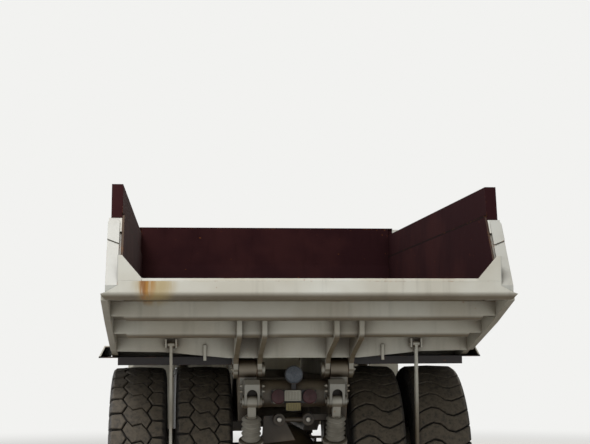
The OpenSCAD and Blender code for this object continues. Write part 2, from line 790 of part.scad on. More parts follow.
module steering_barrels() {
    color(steel) both() {
        difference() {
            rod_y(front_axle_y + 230, front_axle_y + 600, steer_rod_x, steer_arm_z, 80);
            rod_y(front_axle_y + 229, front_axle_y + 580, steer_rod_x, steer_arm_z, 36 + 2 * pin_play);
        }
        // Bracket under the frame rail
        block(steer_rod_x - 30, steer_rod_x + 30, front_axle_y + 475, front_axle_y + 535, steer_arm_z + 30,
            steer_arm_z + 60);
        block(rail_x - 40, steer_rod_x + 45, front_axle_y + 470, front_axle_y + 540, steer_arm_z + 52,
            frame_front_low_z);
    }
}

module steering_rod(side) {
    color(steel) on_side(side) {
        rod_y(front_axle_y + 20, front_axle_y + 412, steer_rod_x, steer_arm_z, 36);
        rod_z(steer_arm_z - 20, steer_arm_z + 20, steer_rod_x, front_axle_y, 80);
    }
}

module steering_rod_l() steering_rod(-1);
module steering_rod_r() steering_rod(1);

module knuckle(side) {
    color(beige) on_side(side) translate([0, front_axle_y, 0]) {
        difference() {
            union() {
                rod_z(590, knuckle_top_z, kingpin_x, 0, 230);
                rod_x(kingpin_x, wheel_x - 150, 0, wheel_z, 200);
                rod_x(wheel_x - 150, wheel_x + 60, 0, wheel_z, 130);
                // Arm of the tie rod, a fork round its eye
                for (z = [tie_z - 52, tie_z + 27]) {
                    block(kingpin_x - 35, kingpin_x + 35, -tie_arm, 0, z, z + 25);
                    rod_z(z, z + 25, kingpin_x, -tie_arm, 90);
                }
                // Arm of the steering cylinder, a fork round its rod's eye
                for (z = [steer_arm_z - 47, steer_arm_z + 22]) {
                    block(kingpin_x - steer_arm, kingpin_x, -40, 40, z, z + 25);
                    rod_z(z, z + 25, kingpin_x - steer_arm, 0, 100);
                }
                rod_z(tie_z - 60, tie_z + 60, kingpin_x, -tie_arm, 40);
            }
            rod_z(knuckle_top_z - socket_depth, knuckle_top_z + 1, kingpin_x, 0, strut_rod_d + 2 * pin_play);
        }
    }
}

module knuckle_l() knuckle(-1);
module knuckle_r() knuckle(1);

module tie_rod() {
    y = front_axle_y - tie_arm;
    color(steel) difference() {
        union() {
            rod_x(-kingpin_x + 30, kingpin_x - 30, y, tie_z, 46);
            both() rod_z(tie_z - 24, tie_z + 24, kingpin_x, y, 84);
        }
        both() rod_z(tie_z - 30, tie_z + 30, kingpin_x, y, 40 + 2 * pin_play);
    }
}

// Tyre: half section as [radius, across], turned about the axle, with slanted lugs
carcass_r = tyre_r - lug_h;
flange_r = rim_d / 2 + 38;
bead_half = rim_w / 2 - 14;

module tyre_section() {
    h = tyre_w / 2;
    seat_r = rim_d / 2 + gap;
    polygon([
        [seat_r, -bead_half], [flange_r, -bead_half], [flange_r + 90, -h + 12], [flange_r + 170, -h],
        [carcass_r - 110, -h + 8], [carcass_r - 30, -h + 50], [carcass_r, -h + 110],
        [carcass_r, h - 110], [carcass_r - 30, h - 50], [carcass_r - 110, h - 8],
        [flange_r + 170, h], [flange_r + 90, h - 12], [flange_r, bead_half], [seat_r, bead_half]
    ]);
}

// How far a lug runs forward or back from the middle to the shoulder
lug_step = 34;
lug_w = 2 * PI * tyre_r / lug_n - lug_groove;

module lug() {
    h = tyre_w / 2;
    w = lug_w;
    step = lug_step;
    // The corner of a lug's flat top lies on the outer diameter
    top = sqrt(tyre_r * tyre_r - (w / 2 + step) * (w / 2 + step));
    translate([0, 0, carcass_r - 60]) linear_extrude(top - carcass_r + 60) polygon([
        [-h + 22, -w / 2 + step], [-h + 22, w / 2 + step], [-h * 0.35, w / 2 + step * 0.6],
        [h * 0.35, w / 2 - step * 0.6], [h - 22, w / 2 - step], [h - 22, -w / 2 - step],
        [h * 0.35, -w / 2 - step * 0.6], [-h * 0.35, -w / 2 + step * 0.6]
    ]);
}

module tyre() {
    phase = asin((lug_w / 2 + lug_step) / tyre_r);
    difference() {
        union() {
            rotate([0, 90, 0]) rotate_extrude() tyre_section();
            for (i = [0:lug_n - 1]) rotate([180 + phase + i * 360 / lug_n, 0, 0]) lug();
        }
    }
}

module front_tyre(side) {
    color(tyre_black) on_side(side) translate([wheel_x, front_axle_y, wheel_z]) tyre();
}

module front_tyre_l() front_tyre(-1);
module front_tyre_r() front_tyre(1);

module rear_tyres(side) {
    color(tyre_black) on_side(side) for (s = [-1, 1])
        translate([twin_x + s * twin_spacing / 2, axle_y, wheel_z]) tyre();
}

module rear_tyres_l() rear_tyres(-1);
module rear_tyres_r() rear_tyres(1);

// Rim band as a half section: bead seats, flanges and a well
module rim_band() {
    r = rim_d / 2;
    h = rim_w / 2;
    rotate([0, 90, 0]) rotate_extrude() polygon([
        [r, -bead_half], [r + 38, -bead_half], [r + 38, -h], [r - 16, -h], [r - 16, h], [r + 38, h],
        [r + 38, bead_half], [r, bead_half]
    ]);
}

module front_rim(side) {
    r = rim_d / 2;
    color(cream) on_side(side) translate([wheel_x, front_axle_y, wheel_z]) difference() {
        union() {
            rim_band();
            // Disc and hub
            rotate([0, 90, 0]) rotate_extrude() polygon([
                [0, 68], [65 + pin_play, 68], [65 + pin_play, -140], [150, -140], [150, -20], [r - 15, 40],
                [r - 15, 65], [170, 20], [170, 110], [120, 150], [0, 150]
            ]);
        }
        for (i = [0:4]) rotate([i * 72, 0, 0]) translate([0, 0, 235]) rotate([0, 90, 0])
            cylinder(d = 70, h = 300, center = true);
    }
}

module front_rim_l() front_rim(-1);
module front_rim_r() front_rim(1);

axle_end_x = twin_x - twin_spacing / 2 - rim_w / 2 - 20;
spindle_d = 180;

module rear_rims(side) {
    r = rim_d / 2;
    s = twin_spacing / 2;
    color(cream) on_side(side) translate([twin_x, axle_y, wheel_z]) {
        for (x = [-s, s]) translate([x, 0, 0]) rim_band();
        // Hub through both rims, with a spacer band and the planetary cover
        rotate([0, 90, 0]) rotate_extrude() polygon([
            [spindle_d / 2 + pin_play, -s - rim_w / 2], [r - 90, -s - rim_w / 2], [r - 90, -s - 60], [r - 15, -s - 20],
            [r - 15, -s + 20], [r - 60, -s + 60], [r - 60, s - 60], [r - 15, s - 20], [r - 15, s + 20],
            [r - 110, s + 60], [r - 110, s + 110], [r - 150, s + 140], [0, s + 140], [0, s + 60],
            [spindle_d / 2 + pin_play, s + 60]
        ]);
    }
}

module rear_rims_l() rear_rims(-1);
module rear_rims_r() rear_rims(1);

// Width of a rear strut's lower eye, and where its barrel and its rod end
strut_eye_w = 72;
strut_rise = strut_top_z - strut_low_z;
strut_run = strut_top_d - strut_low_d;
strut_len = sqrt(strut_rise * strut_rise + strut_run * strut_run);
strut_barrel_l = strut_len * 0.52;
bellows_top = strut_len - 142;

// Rear axle: differential housing, tubes, A-frame and the brackets of the struts
module rear_axle() {
    a_nose_y = axle_y + 1560;
    color(beige) {
        translate([0, axle_y, wheel_z]) {
            sphere(r = 290);
            rod_x(-axle_end_x, axle_end_x, 0, 0, 260);
            both() rod_x(0, twin_x + twin_spacing / 2 + 50, 0, 0, spindle_d);
            rod_y(250, 420, 0, 0, 260);
        }
        // A-frame
        both() a_frame_leg(a_nose_y);
        translate([0, a_nose_y, wheel_z]) sphere(r = 110);
        rod_z(wheel_z + 60, 1070, 0, a_nose_y, 120);
        // Strut brackets behind the axle
        both() difference() {
            from_tail() along_x(strut_x - 75, strut_x + 75) polygon([
                [strut_low_d - 70, strut_low_z - 70], [tail_overhang, wheel_z - 125], [tail_overhang + 60, wheel_z],
                [tail_overhang, wheel_z + 120], [strut_low_d - 70, strut_low_z + 70]
            ]);
            from_tail() block(strut_x - strut_eye_w / 2 - 1, strut_x + strut_eye_w / 2 + 1, strut_low_d - 120, strut_low_d + 130, strut_low_z - 150,
                strut_low_z + 200);
        }
        both() from_tail() rod_x(strut_x - 90, strut_x + 90, strut_low_d, strut_low_z, strut_pin_d);
        // Propeller shaft
        rod_y(axle_y + 400, hood_rear_y - 890, 0, wheel_z + 60, 110);
        // Lateral rod between the axle and the frame, with a cast bracket on the housing
        from_tail() {
            y = 1800;
            z = 1185;
            along_y(y + 30, y + 90) polygon([
                [-235, 1215], [-130, 1222], [-35, 1155], [40, 1005], [-250, 975]
            ]);
            along_x(-165, -105) polygon([
                [y + 85, 1205], [tail_overhang - 90, 1085], [tail_overhang - 90, 960], [y + 85, 985]
            ]);
            rod_x(-104, 150, y, z, 44);
            for (x = [-104, 150]) {
                rod_y(y - 30, y + 31, x, z, 104);
                rod_y(y - 38, y - 29, x, z, 46);
            }
            block(140, rail_in - gap / 3, y - 25, y + 25, z - 5, z + 45);
        }
    }
}

module a_frame_leg(nose_y_pos) {
    rod_between([axle_end_x - 130, axle_y, wheel_z], [40, nose_y_pos, wheel_z], 150);
}

// Along a rear strut from its lower pin
module on_strut() {
    translate([strut_x, tail_y + strut_low_d, strut_low_z]) rotate([atan2(-strut_run, strut_rise), 0, 0]) children();
}

module rear_struts() {
    color(cream) both() on_strut() difference() {
        union() {
            rod_x(-strut_eye_w / 2, strut_eye_w / 2, 0, 0, 130);
            cylinder(d = strut_d, h = strut_barrel_l);
            translate([0, 0, strut_barrel_l - 1]) cylinder(d = strut_d + 40, h = 31);
            cylinder(d = 90, h = bellows_top + 8);
            // Flat upper end of the rod, with its eye in the frame's clevis
            block(-34, 34, -30, 30, bellows_top, strut_len);
            rod_x(-clevis_slot / 2 + 1, clevis_slot / 2 - 1, 0, strut_len, 100);
        }
        rod_x(-50, 50, 0, 0, strut_pin_d + 2 * pin_play);
        rod_x(-50, 50, 0, strut_len, strut_pin_d + 2 * pin_play);
        // Flats beside the lower eye, between the axle's brackets
        for (s = [-1, 1]) translate([s * (strut_eye_w / 2 + 100) - 100, -200, -150]) cube([200, 400, 275]);
    }
}

module strut_bellows() {
    fold_n = 5;
    z0 = strut_barrel_l + 30 + gap;
    fold = (bellows_top - z0) / fold_n;
    color(dark) both() on_strut() rotate_extrude() polygon(concat(
        [[45 + gap, z0]],
        [for (i = [0:fold_n - 1], k = [0, 1]) [k == 0 ? 62 : 84, z0 + (i + k * 0.5) * fold]],
        [[62, bellows_top], [45 + gap, bellows_top]]
    ));
}

module tail_lamps() {
    y = tail_y + rail_end_d + 2;
    red_z = 1393;
    // Plate welded to the back of the cross tube
    color(dark) block(-190, 190, y - 12, y - gap, red_z - 55, red_z + 55);
    color("#7a1f1c") for (x = [-133, 133]) rod_y(y - 40, y - 12, x, red_z, 124);
    color(cream) {
        block(-85, 59, y - 62, y - 12, red_z - 38, red_z + 55);
        block(-72, 56, y - 52, y - 12, red_z - 118, red_z - 50);
        block(-30, 30, y - 12, y - gap, red_z - 125, red_z - 55);
        rod_y(y - 30, y, 0, 1576, 156);
        block(-20, 20, y - 12, y - gap, red_z + 55, 1520);
    }
}

// Dump body
function wall_d(z) = z < wall_bend_z
    ? floor_l + (wall_bend_d - floor_l) * (z - floor_front_z) / (wall_bend_z - floor_front_z)
    : wall_bend_d + (wall_top_d - wall_bend_d) * (z - wall_bend_z) / (wall_top_z - wall_bend_z);
function lean_d(z) = (z - post_foot[1]) * tan(post_lean);

canopy_t = 12;
gusset_t = 10;
tail_beam_l = 100;
tail_beam_h = 155;
tail_beam_r = 60;
beam_r = 45;
beam_end_x = 1395;
beam_end_rise = 33;
tail_corner_z = tail_z - 113;
rib_depth = 105;
rib_w = 110;
top_rail_w = post_out - lining_out - 6;
top_rail_h = 110;
// Upper edge of the top rail, on which the sideboard stands
top_rail_rear_z = rail_top_z(320);
top_rail_rear_d = lean_d(top_rail_rear_z);
top_rail_front_z = rail_top_z(wall_top_d);
top_rail_front_d = wall_d(top_rail_front_z) + wall_t;
top_rail_slope = (top_rail_front_z - top_rail_rear_z) / (top_rail_front_d - top_rail_rear_d);
function top_rail_line_z(d) = top_rail_rear_z + top_rail_slope * (d - top_rail_rear_d);
// Shelf of the bottom rail: level behind the tail beam, then along the floor
shelf_d = 600;
shelf_z = tail_corner_z - 5;
shelf_low_d = tail_beams[0][BEAM_REAR] - 5;

module floor_region() {
    polygon([
        [gusset_t, floor_z(gusset_t) - floor_t], [tail_l, knee_z - floor_t], [floor_l, floor_front_z - floor_t],
        [floor_l, floor_front_z + corner_h + 1], [gusset_t, floor_z(gusset_t) + corner_h + 1]
    ]);
}

// Slanted corner over one straight stretch of the floor, from p0 to p1, running on past both ends
module corner_wedge(p0, p1) {
    run = p1[0] - p0[0];
    slope = atan2(p1[1] - p0[1], run);
    len = run / cos(slope);
    translate([0, p0[0], p0[1]]) rotate([slope, 0, 0]) along_y(-600, len + 600) polygon([
        [floor_half, -floor_t / 2], [half_load, -floor_t / 2], [half_load, corner_h * cos(slope)], [floor_half, 0]
    ]);
}

module body_floor() {
    color(maroon) from_tail() {
        difference() {
            along_x(-half_load, half_load) polygon([
                [0, tail_z], floor_line[1], floor_line[2], [floor_l, floor_front_z - floor_t],
                [tail_l, knee_z - floor_t], [0, tail_z - floor_t]
            ]);
            both() block(floor_half, half_load + 1, -1, gusset_t, tail_z - 100, tail_z + 10);
        }
        both() intersection() {
            along_x(floor_half, half_load) floor_region();
            union() {
                corner_wedge(floor_line[0], floor_line[1]);
                corner_wedge(floor_line[1], floor_line[2]);
            }
        }
    }
}

function beam_low_z(beam) = floor_z((beam[BEAM_REAR] + beam[BEAM_FRONT]) / 2) - floor_t - beam[BEAM_DEPTH] + 20;

// A box beam from side to side with a rounded lower edge, its top following the floor plate
module cross_beam(beam) {
    d0 = beam[BEAM_REAR];
    d1 = beam[BEAM_FRONT];
    low = beam_low_z(beam);
    x = beam_half;
    intersection() {
        along_x(-x, x) {
            polygon([
                [d0, hang_z(d0)], [d1, hang_z(d1)], [d1, low], [d0 + beam_r, low], [d0 + beam_r, low + beam_r],
                [d0, low + beam_r]
            ]);
            translate([d0 + beam_r, low + beam_r]) circle(r = beam_r);
        }
        // Shallower at both ends
        along_y(d0 - 1, d1 + 1) polygon([
            [-x, tail_z], [x, tail_z], [x, low + beam_end_rise], [beam_end_x, low + beam_end_rise],
            [beam_end_x - 20, low - 1], [20 - beam_end_x, low - 1], [-beam_end_x, low + beam_end_rise],
            [-x, low + beam_end_rise]
        ]);
    }
}

// All cross beams; the bolster is deeper in the middle
module cross_beams() {
    for (b = tail_beams) cross_beam(b);
    intersection() {
        along_x(-beam_half, beam_half) polygon([
            [bolster[0], hang_z(bolster[0])], [bolster[1], hang_z(bolster[1])],
            [bolster[1], bolster_low_z - 1], [bolster[0], bolster_low_z - 1]
        ]);
        along_y(bolster[0] - 1, bolster[1] + 1) polygon([
            [-beam_half, 1950], [beam_half, 1950], [beam_half, bolster_low_z + 60],
            [bolster_wide, bolster_low_z + 52], [bolster_narrow, bolster_low_z],
            [-bolster_narrow, bolster_low_z], [-bolster_wide, bolster_low_z + 52],
            [-beam_half, bolster_low_z + 60]
        ]);
    }
    for (b = floor_beams)
        along_x(-beam_half, beam_half) polygon([
            [b[0], hang_z(b[0])], [b[1], hang_z(b[1])], [b[1], guard_z], [b[0], guard_z]
        ]);
}

// Room for the cross beams in the rails and hinge plates
module beam_space() {
    x = hinge_x[1] + hinge_t;
    for (b = tail_beams) block(-1, x, b[0] - gap, b[1] + gap, beam_low_z(b) - gap, tail_z);
    block(-1, x, bolster[0] - gap, bolster[1] + gap, bolster_low_z - gap, tail_z);
    for (b = floor_beams) block(-1, x, b[0] - gap, b[1] + gap, guard_z - gap, tail_z);
}

// Side view of a hinge plate: upright rear edge behind the second tail beam, an S-shaped lower edge and the eye
module hinge_plate_outline() {
    rear_d = tail_beams[1][BEAM_REAR] - 80;
    corner_r = 60;
    corner_z = beam_low_z(tail_beams[1]) - 20;
    polygon([
        [rear_d, hang_z(rear_d)], [tail_l, hang_z(tail_l)], [pivot_d + 520, hang_z(pivot_d + 520)],
        [pivot_d + 270, pivot_z + 38], [pivot_d + 70, pivot_z - 66], [pivot_d - 60, pivot_z - 40],
        [pivot_d - 85, pivot_z], [pivot_d - 102, pivot_z + 48], [pivot_d - 138, pivot_z + 88],
        [pivot_d - 230, pivot_z + 128], [rear_d + corner_r, corner_z], [rear_d + corner_r, corner_z + corner_r],
        [rear_d, corner_z + corner_r]
    ]);
    translate([rear_d + corner_r, corner_z + corner_r]) circle(r = corner_r);
    translate([pivot_d, pivot_z]) circle(r = hinge_eye_r);
}

module ejector_ears() {
    for (x = [twin_x - 43, twin_x + 43])
        along_x(x - 7, x + 7) polygon([
            [ejector_d - 32, ejector_z - 30], [ejector_d + 20, ejector_z - 30], [bolster[BEAM_REAR] + 1, ejector_z - 20],
            [bolster[BEAM_REAR] + 1, ejector_z + 45], [ejector_d - 32, ejector_z + 45]
        ]);
    rod_x(twin_x - 58, twin_x + 58, ejector_d, ejector_z, ejector_pin_d);
}

ejector_d = bolster[BEAM_REAR] - 35;
ejector_z = 1835;
ejector_pin_d = 24;
ejector_len = 900;

module body_underframe() {
    low = tail_z - tail_beam_h;
    r = tail_beam_r;
    color(cream) from_tail() {
        // Tail beam
        intersection() {
            along_x(-half_w, half_w) {
                polygon([
                    [0, hang_z(0)], [tail_beam_l, hang_z(tail_beam_l)], [tail_beam_l, low], [r, low], [r, low + r],
                    [0, low + r]
                ]);
                intersection() {
                    translate([r, low + r]) circle(r = r);
                    translate([0, low]) square(r + 1);
                }
            }
            // Rear view: level up to the posts, then slanting under their feet to the tips
            along_y(-1, tail_beam_l + 1) polygon([
                [-half_w, tail_corner_z], [-post_out, post_foot_out_z - gap], [-post_in + gap, post_foot_in_z - gap],
                [-post_in + gap, tail_z], [post_in - gap, tail_z], [post_in - gap, post_foot_in_z - gap],
                [post_out, post_foot_out_z - gap], [half_w, tail_corner_z], [half_w - 38, low - 1],
                [38 - half_w, low - 1]
            ]);
        }
        cross_beams();
        both() {
            ejector_ears();
            block(745, 769, bolster[0] - 16, bolster[0], 1700, 1830);
            // Mudguard over the twin tyres, with its flared lip
            block(guard_in_x, beam_half, guard_d0, guard_d1, guard_z - guard_t, guard_z);
            block(guard_in_x, beam_half, guard_d0 - guard_t, guard_d0, guard_z - 70, guard_z);
            along_y(guard_d0 - guard_t, guard_d1) polygon([
                [beam_half - 1, guard_z - guard_t], [half_w + 112, guard_z - guard_t], [half_w + 112, guard_z],
                [half_w + 62, guard_z + 95], [half_w, guard_z + 95], [half_w, guard_z + 85],
                [half_w + 56, guard_z + 85], [half_w + 98, guard_z], [beam_half - 1, guard_z]
            ]);
        }
    }
}

// Long rails of the body over the frame, with the hinge plates and the hoist's brackets
module body_rails() {
    color(cream) both() from_tail() {
        difference() {
            union() {
                along_x(rail_x - 60, rail_x + 60) polygon([
                    [pivot_d + 220, hang_z(pivot_d + 220)], [floor_l - 20, hang_z(floor_l - 20)],
                    [floor_l - 20, frame_top_z + gap], [pivot_d + 260, frame_top_z + gap],
                    [pivot_d + 220, frame_top_z + 60]
                ]);
                for (x = hinge_x) along_x(x - hinge_t / 2, x + hinge_t / 2) hinge_plate_outline();
                // Brackets of the hoist's upper pins
                for (x = [hoist_x - 70, hoist_x + 70]) along_x(x - 10, x + 10) {
                    polygon([
                        [hoist_top_d - 110, hang_z(hoist_top_d - 110)], [hoist_top_d + 110, hang_z(hoist_top_d + 110)],
                        [hoist_top_d + 60, hoist_top_z], [hoist_top_d - 60, hoist_top_z]
                    ]);
                    translate([hoist_top_d, hoist_top_z]) circle(r = 60);
                }
            }
            // Clear of the cross beams of the underframe
            beam_space();
        }
        rod_x(hinge_x[0] - 50, hinge_x[1] + 32, pivot_d, pivot_z, pivot_pin_d);
        rod_x(hinge_x[0] - 46, hinge_x[0], pivot_d, pivot_z, 126);
    }
}

module side_rail_outline() {
    polygon([
        [tail_beam_l, shelf_z], [shelf_d, floor_z(shelf_d) + 40], [tail_l, knee_z + 40], [floor_l, floor_front_z + 40],
        [floor_l, guard_z + gap], [guard_d0 + 50, guard_z + gap], [bolster[1], bolster_low_z + 62],
        [bolster[0], bolster_low_z + 62], [shelf_d, floor_z(shelf_d) - 145], [tail_beam_l, floor_z(tail_beam_l) - 130]
    ]);
}

// Rear view of the post above a slanted line, under its round head
module post_outline(in_z, out_z) {
    head_r = 50;
    intersection() {
        polygon([[post_in, in_z], [post_out, out_z], [post_out, post_apex_z + 1], [post_in, post_apex_z + 1]]);
        union() {
            translate([post_in - 1, tail_corner_z]) square([post_w + 2, post_apex_z - head_r - tail_corner_z]);
            translate([(post_in + post_out) / 2, post_apex_z - head_r]) circle(r = head_r);
        }
    }
}

// Side view of a bar along the leaning edge, from t0 to t1 behind the post's rear face
module leaning_bar(t0, t1) {
    translate(post_foot) rotate(-post_lean) translate([t0, -200]) square([t1 - t0, 1000]);
}

// Leaning tail post, with the lip of its upper sleeve
module tail_post() {
    intersection() {
        along_x(post_in, post_out) leaning_bar(0, post_t);
        along_y(0, 600) post_outline(post_foot_in_z, post_foot_out_z);
    }
    intersection() {
        along_x(post_in, post_out) leaning_bar(-10, post_t / 2);
        along_y(0, 600) post_outline(post_apex_z - 198, post_apex_z - 163);
    }
    // Strip between the post and the lining
    intersection() {
        along_x(lining_out, post_in) leaning_bar(20, post_t - 20);
        along_y(0, 600) translate([lining_out, tail_z]) square([post_in - lining_out, post_apex_z - 40 - tail_z]);
    }
}

module body_sides() {
    front = wall_t;
    color(cream) both() from_tail() {
        // Lining
        along_x(half_load, lining_out) polygon([
            [tail_beam_l, under_z(shelf_low_d)], [shelf_low_d, under_z(shelf_low_d)], [tail_l, knee_z - floor_t],
            [floor_l + front, floor_front_z - floor_t], [floor_l + front, floor_front_z],
            [wall_bend_d + front, wall_bend_z], [wall_d(side_top_front_z) + front, side_top_front_z],
            [lean_d(side_top_z(330)), side_top_z(330)], [lean_d(tail_z + 2), tail_z + 2], [tail_beam_l, tail_z + 1]
        ]);
        // Bottom rail: shelf and outer plate
        along_x(lining_out, half_w) polygon([
            [tail_beam_l, shelf_z], [shelf_d, floor_z(shelf_d) + 40], [tail_l, knee_z + 40],
            [floor_l, floor_front_z + 40], [floor_l, floor_front_z - floor_t], [tail_l, knee_z - floor_t],
            [shelf_low_d, under_z(shelf_low_d)], [tail_beam_l, under_z(shelf_low_d)]
        ]);
        along_x(beam_half, half_w) side_rail_outline();
        // Top rail
        along_x(lining_out, lining_out + top_rail_w) polygon([
            [lean_d(top_rail_rear_z - top_rail_h), top_rail_rear_z - top_rail_h],
            [wall_d(top_rail_front_z - top_rail_h) + front, top_rail_front_z - top_rail_h],
            [top_rail_front_d, top_rail_front_z], [top_rail_rear_d, top_rail_rear_z]
        ]);
        // Ribs
        for (i = [0:rib_n - 1]) {
            d = 620 + i * (wall_bend_d - 150 - 620) / rib_n;
            along_x(lining_out, lining_out + rib_depth) polygon([
                [d, floor_z(d) + 20], [d + rib_w, floor_z(d + rib_w) + 20],
                [d + rib_w, rail_top_z(d) - top_rail_h + 20], [d, rail_top_z(d) - top_rail_h + 20]
            ]);
        }
        tail_post();
        // Gusset across the corner of the tail
        along_y(0, gusset_t) polygon([
            [floor_half, tail_z - floor_t], [floor_half, tail_z], [half_load, tail_z + corner_h],
            [post_in + 1, tail_z + corner_h], [post_in + 1, tail_z - floor_t]
        ]);
        along_y(gusset_t - 1, tail_beam_l + 1) polygon([
            [half_load + gap, tail_z - floor_t], [half_load + gap, tail_z + 20], [post_in + 1, tail_z + 20],
            [post_in + 1, tail_z - floor_t]
        ]);
    }
}

module front_wall() {
    t = wall_t;
    post_edge = half_w - 20;
    stiffener_z = [floor_front_z + 250, floor_front_z + 600, wall_bend_z - 150, wall_top_z - canopy_t - 140];
    color(maroon) from_tail() {
        along_x(-half_load, half_load) polygon([
            [floor_l, floor_front_z - floor_t], [floor_l, floor_front_z], [wall_bend_d, wall_bend_z],
            [wall_top_d, wall_top_z - canopy_t], [wall_top_d + t, wall_top_z - canopy_t], [wall_bend_d + t, wall_bend_z],
            [floor_l + t, floor_front_z], [floor_l + t, floor_front_z - floor_t]
        ]);
    }
    color(cream) from_tail() {
        // Level stiffeners across the front, each with a root sunk 5 mm into the plate
        for (z = stiffener_z) {
            along_x(1 - post_edge, post_edge - 1) polygon([
                [wall_d(z) + t + gap, z], [wall_d(z) + t + 80, z + 10], [wall_d(z + 90) + t + 80, z + 90],
                [wall_d(z + 100) + t + gap, z + 100]
            ]);
            along_x(20 - half_load, half_load - 20) polygon([
                [wall_d(z + 20) + t - 5, z + 20], [wall_d(z + 20) + t + 10, z + 20],
                [wall_d(z + 80) + t + 10, z + 80], [wall_d(z + 80) + t - 5, z + 80]
            ]);
        }
        for (x = [-1100, -600, 0, 600, 1100]) along_x(x - 45, x + 45) polygon([
            [floor_l + t - 5, floor_front_z - floor_t + 1], [floor_l + t - 5, floor_front_z],
            [wall_bend_d + t - 5, wall_bend_z], [wall_bend_d + t + 70, wall_bend_z], [floor_l + t + 70, floor_front_z]
        ]);
        both() along_x(lining_out, post_edge) polygon([
            [floor_l + t + gap, floor_front_z - floor_t + 1], [floor_l + t + gap, floor_front_z],
            [wall_bend_d + t + gap, wall_bend_z], [wall_top_d + t + gap, wall_top_z - canopy_t - 1],
            [wall_top_d + t + 90, wall_top_z - canopy_t], [wall_bend_d + t + 90, wall_bend_z],
            [floor_l + t + 90, floor_front_z - floor_t]
        ]);
    }
}

module cab_guard() {
    w = 1450;
    d0 = wall_top_d;
    d1 = wall_top_d + canopy_l;
    rib_d0 = d0 + wall_t + 90;
    function top_z(d) = wall_top_z + canopy_rise * (d - d0) / canopy_l;
    color(cream) from_tail() {
        along_x(-w, w) polygon([
            [d0, wall_top_z - canopy_t], [d0, wall_top_z], [d1, top_z(d1)], [d1, top_z(d1) - 70],
            [d1 - 10, top_z(d1) - 70], [d1 - 10, top_z(d1 - 10) - canopy_t], [d0 + wall_t, wall_top_z - canopy_t]
        ]);
        both() along_x(w - 10, w) polygon([
            [rib_d0, wall_top_z - 100], [rib_d0, wall_top_z], [d1, top_z(d1)], [d1, top_z(d1) - 70],
            [rib_d0 + 400, top_z(rib_d0 + 400) - 70]
        ]);
        for (x = [-900, -300, 300, 900]) along_x(x - 35, x + 35) polygon([
            [rib_d0, top_z(rib_d0) - 60], [rib_d0, top_z(rib_d0) - 5], [d1 - 5, top_z(d1 - 5) - 5],
            [d1 - 5, top_z(d1 - 5) - 40]
        ]);
    }
}

module sideboards() {
    d0 = top_rail_rear_d + 4;
    d1 = wall_d(top_rail_front_z);
    color(maroon) both() from_tail() along_x(lining_out, lining_out + board_t) polygon([
        [d0, top_rail_line_z(d0) + gap], [d1, top_rail_line_z(d1) + gap], [wall_d(board_front_z), board_front_z],
        [d0 + 40, board_top_z(d0 + 40)]
    ]);
}

module rock_ejector(side) {
    color(cream) on_side(side) from_tail() difference() {
        union() {
            rod_x(twin_x - 30, twin_x + 30, ejector_d, ejector_z, 50);
            along_x(twin_x - 12, twin_x + 12) polygon([
                [ejector_d - 22, ejector_z], [ejector_d + 22, ejector_z], [ejector_d + 28, ejector_z - 500],
                [ejector_d + 28, ejector_z - ejector_len + 40], [ejector_d + 5, ejector_z - ejector_len],
                [ejector_d - 28, ejector_z - ejector_len], [ejector_d - 28, ejector_z - 500]
            ]);
        }
        rod_x(twin_x - 60, twin_x + 60, ejector_d, ejector_z, ejector_pin_d + 2 * pin_play);
    }
}

module rock_ejector_l() rock_ejector(-1);
module rock_ejector_r() rock_ejector(1);

// Hoist cylinders: barrel, middle stage and rod, drawn along their own axis from the lower pin
stage_d = hoist_d - 30;
piston_d = hoist_d - 66;
barrel_top = hoist_len - 60 - 30 - 40;

module on_hoist(side) {
    on_side(side) translate([hoist_x, tail_y + hoist_low_d, hoist_low_z]) rotate([hoist_lean, 0, 0]) children();
}

module hoist_barrel(side) {
    color(cream) on_hoist(side) difference() {
        union() {
            rod_x(-60, 50, 0, 0, 130);
            // Neck between the outrigger and the pin's collar
            block(-60, 50, -60, 60, 0, 75);
            translate([0, 0, 66]) cylinder(d = hoist_d, h = barrel_top - 66);
            translate([0, 0, barrel_top - 50]) cylinder(d = hoist_d + 14, h = 50);
        }
        rod_x(-70, 60, 0, 0, hoist_pin_d + 2 * pin_play);
        translate([0, 0, 79]) cylinder(d = stage_d + 2 * pin_play, h = barrel_top);
    }
}

module hoist_stage(side) {
    color(steel) on_hoist(side) difference() {
        union() {
            translate([0, 0, 82]) cylinder(d = stage_d, h = barrel_top - 82 + 25);
            translate([0, 0, barrel_top + 1]) cylinder(d = stage_d + 14, h = 24);
        }
        translate([0, 0, 102]) cylinder(d = piston_d + 2 * pin_play, h = barrel_top);
    }
}

module hoist_rod(side) {
    color(steel) on_hoist(side) {
        translate([0, 0, 104]) cylinder(d = piston_d, h = hoist_len - 104 - 50);
        difference() {
            rod_x(-48, 48, 0, hoist_len, 110);
            rod_x(-60, 60, 0, hoist_len, 60);
        }
    }
}

module hoist_barrel_l() hoist_barrel(-1);
module hoist_barrel_r() hoist_barrel(1);
module hoist_stage_l() hoist_stage(-1);
module hoist_stage_r() hoist_stage(1);
module hoist_rod_l() hoist_rod(-1);
module hoist_rod_r() hoist_rod(1);

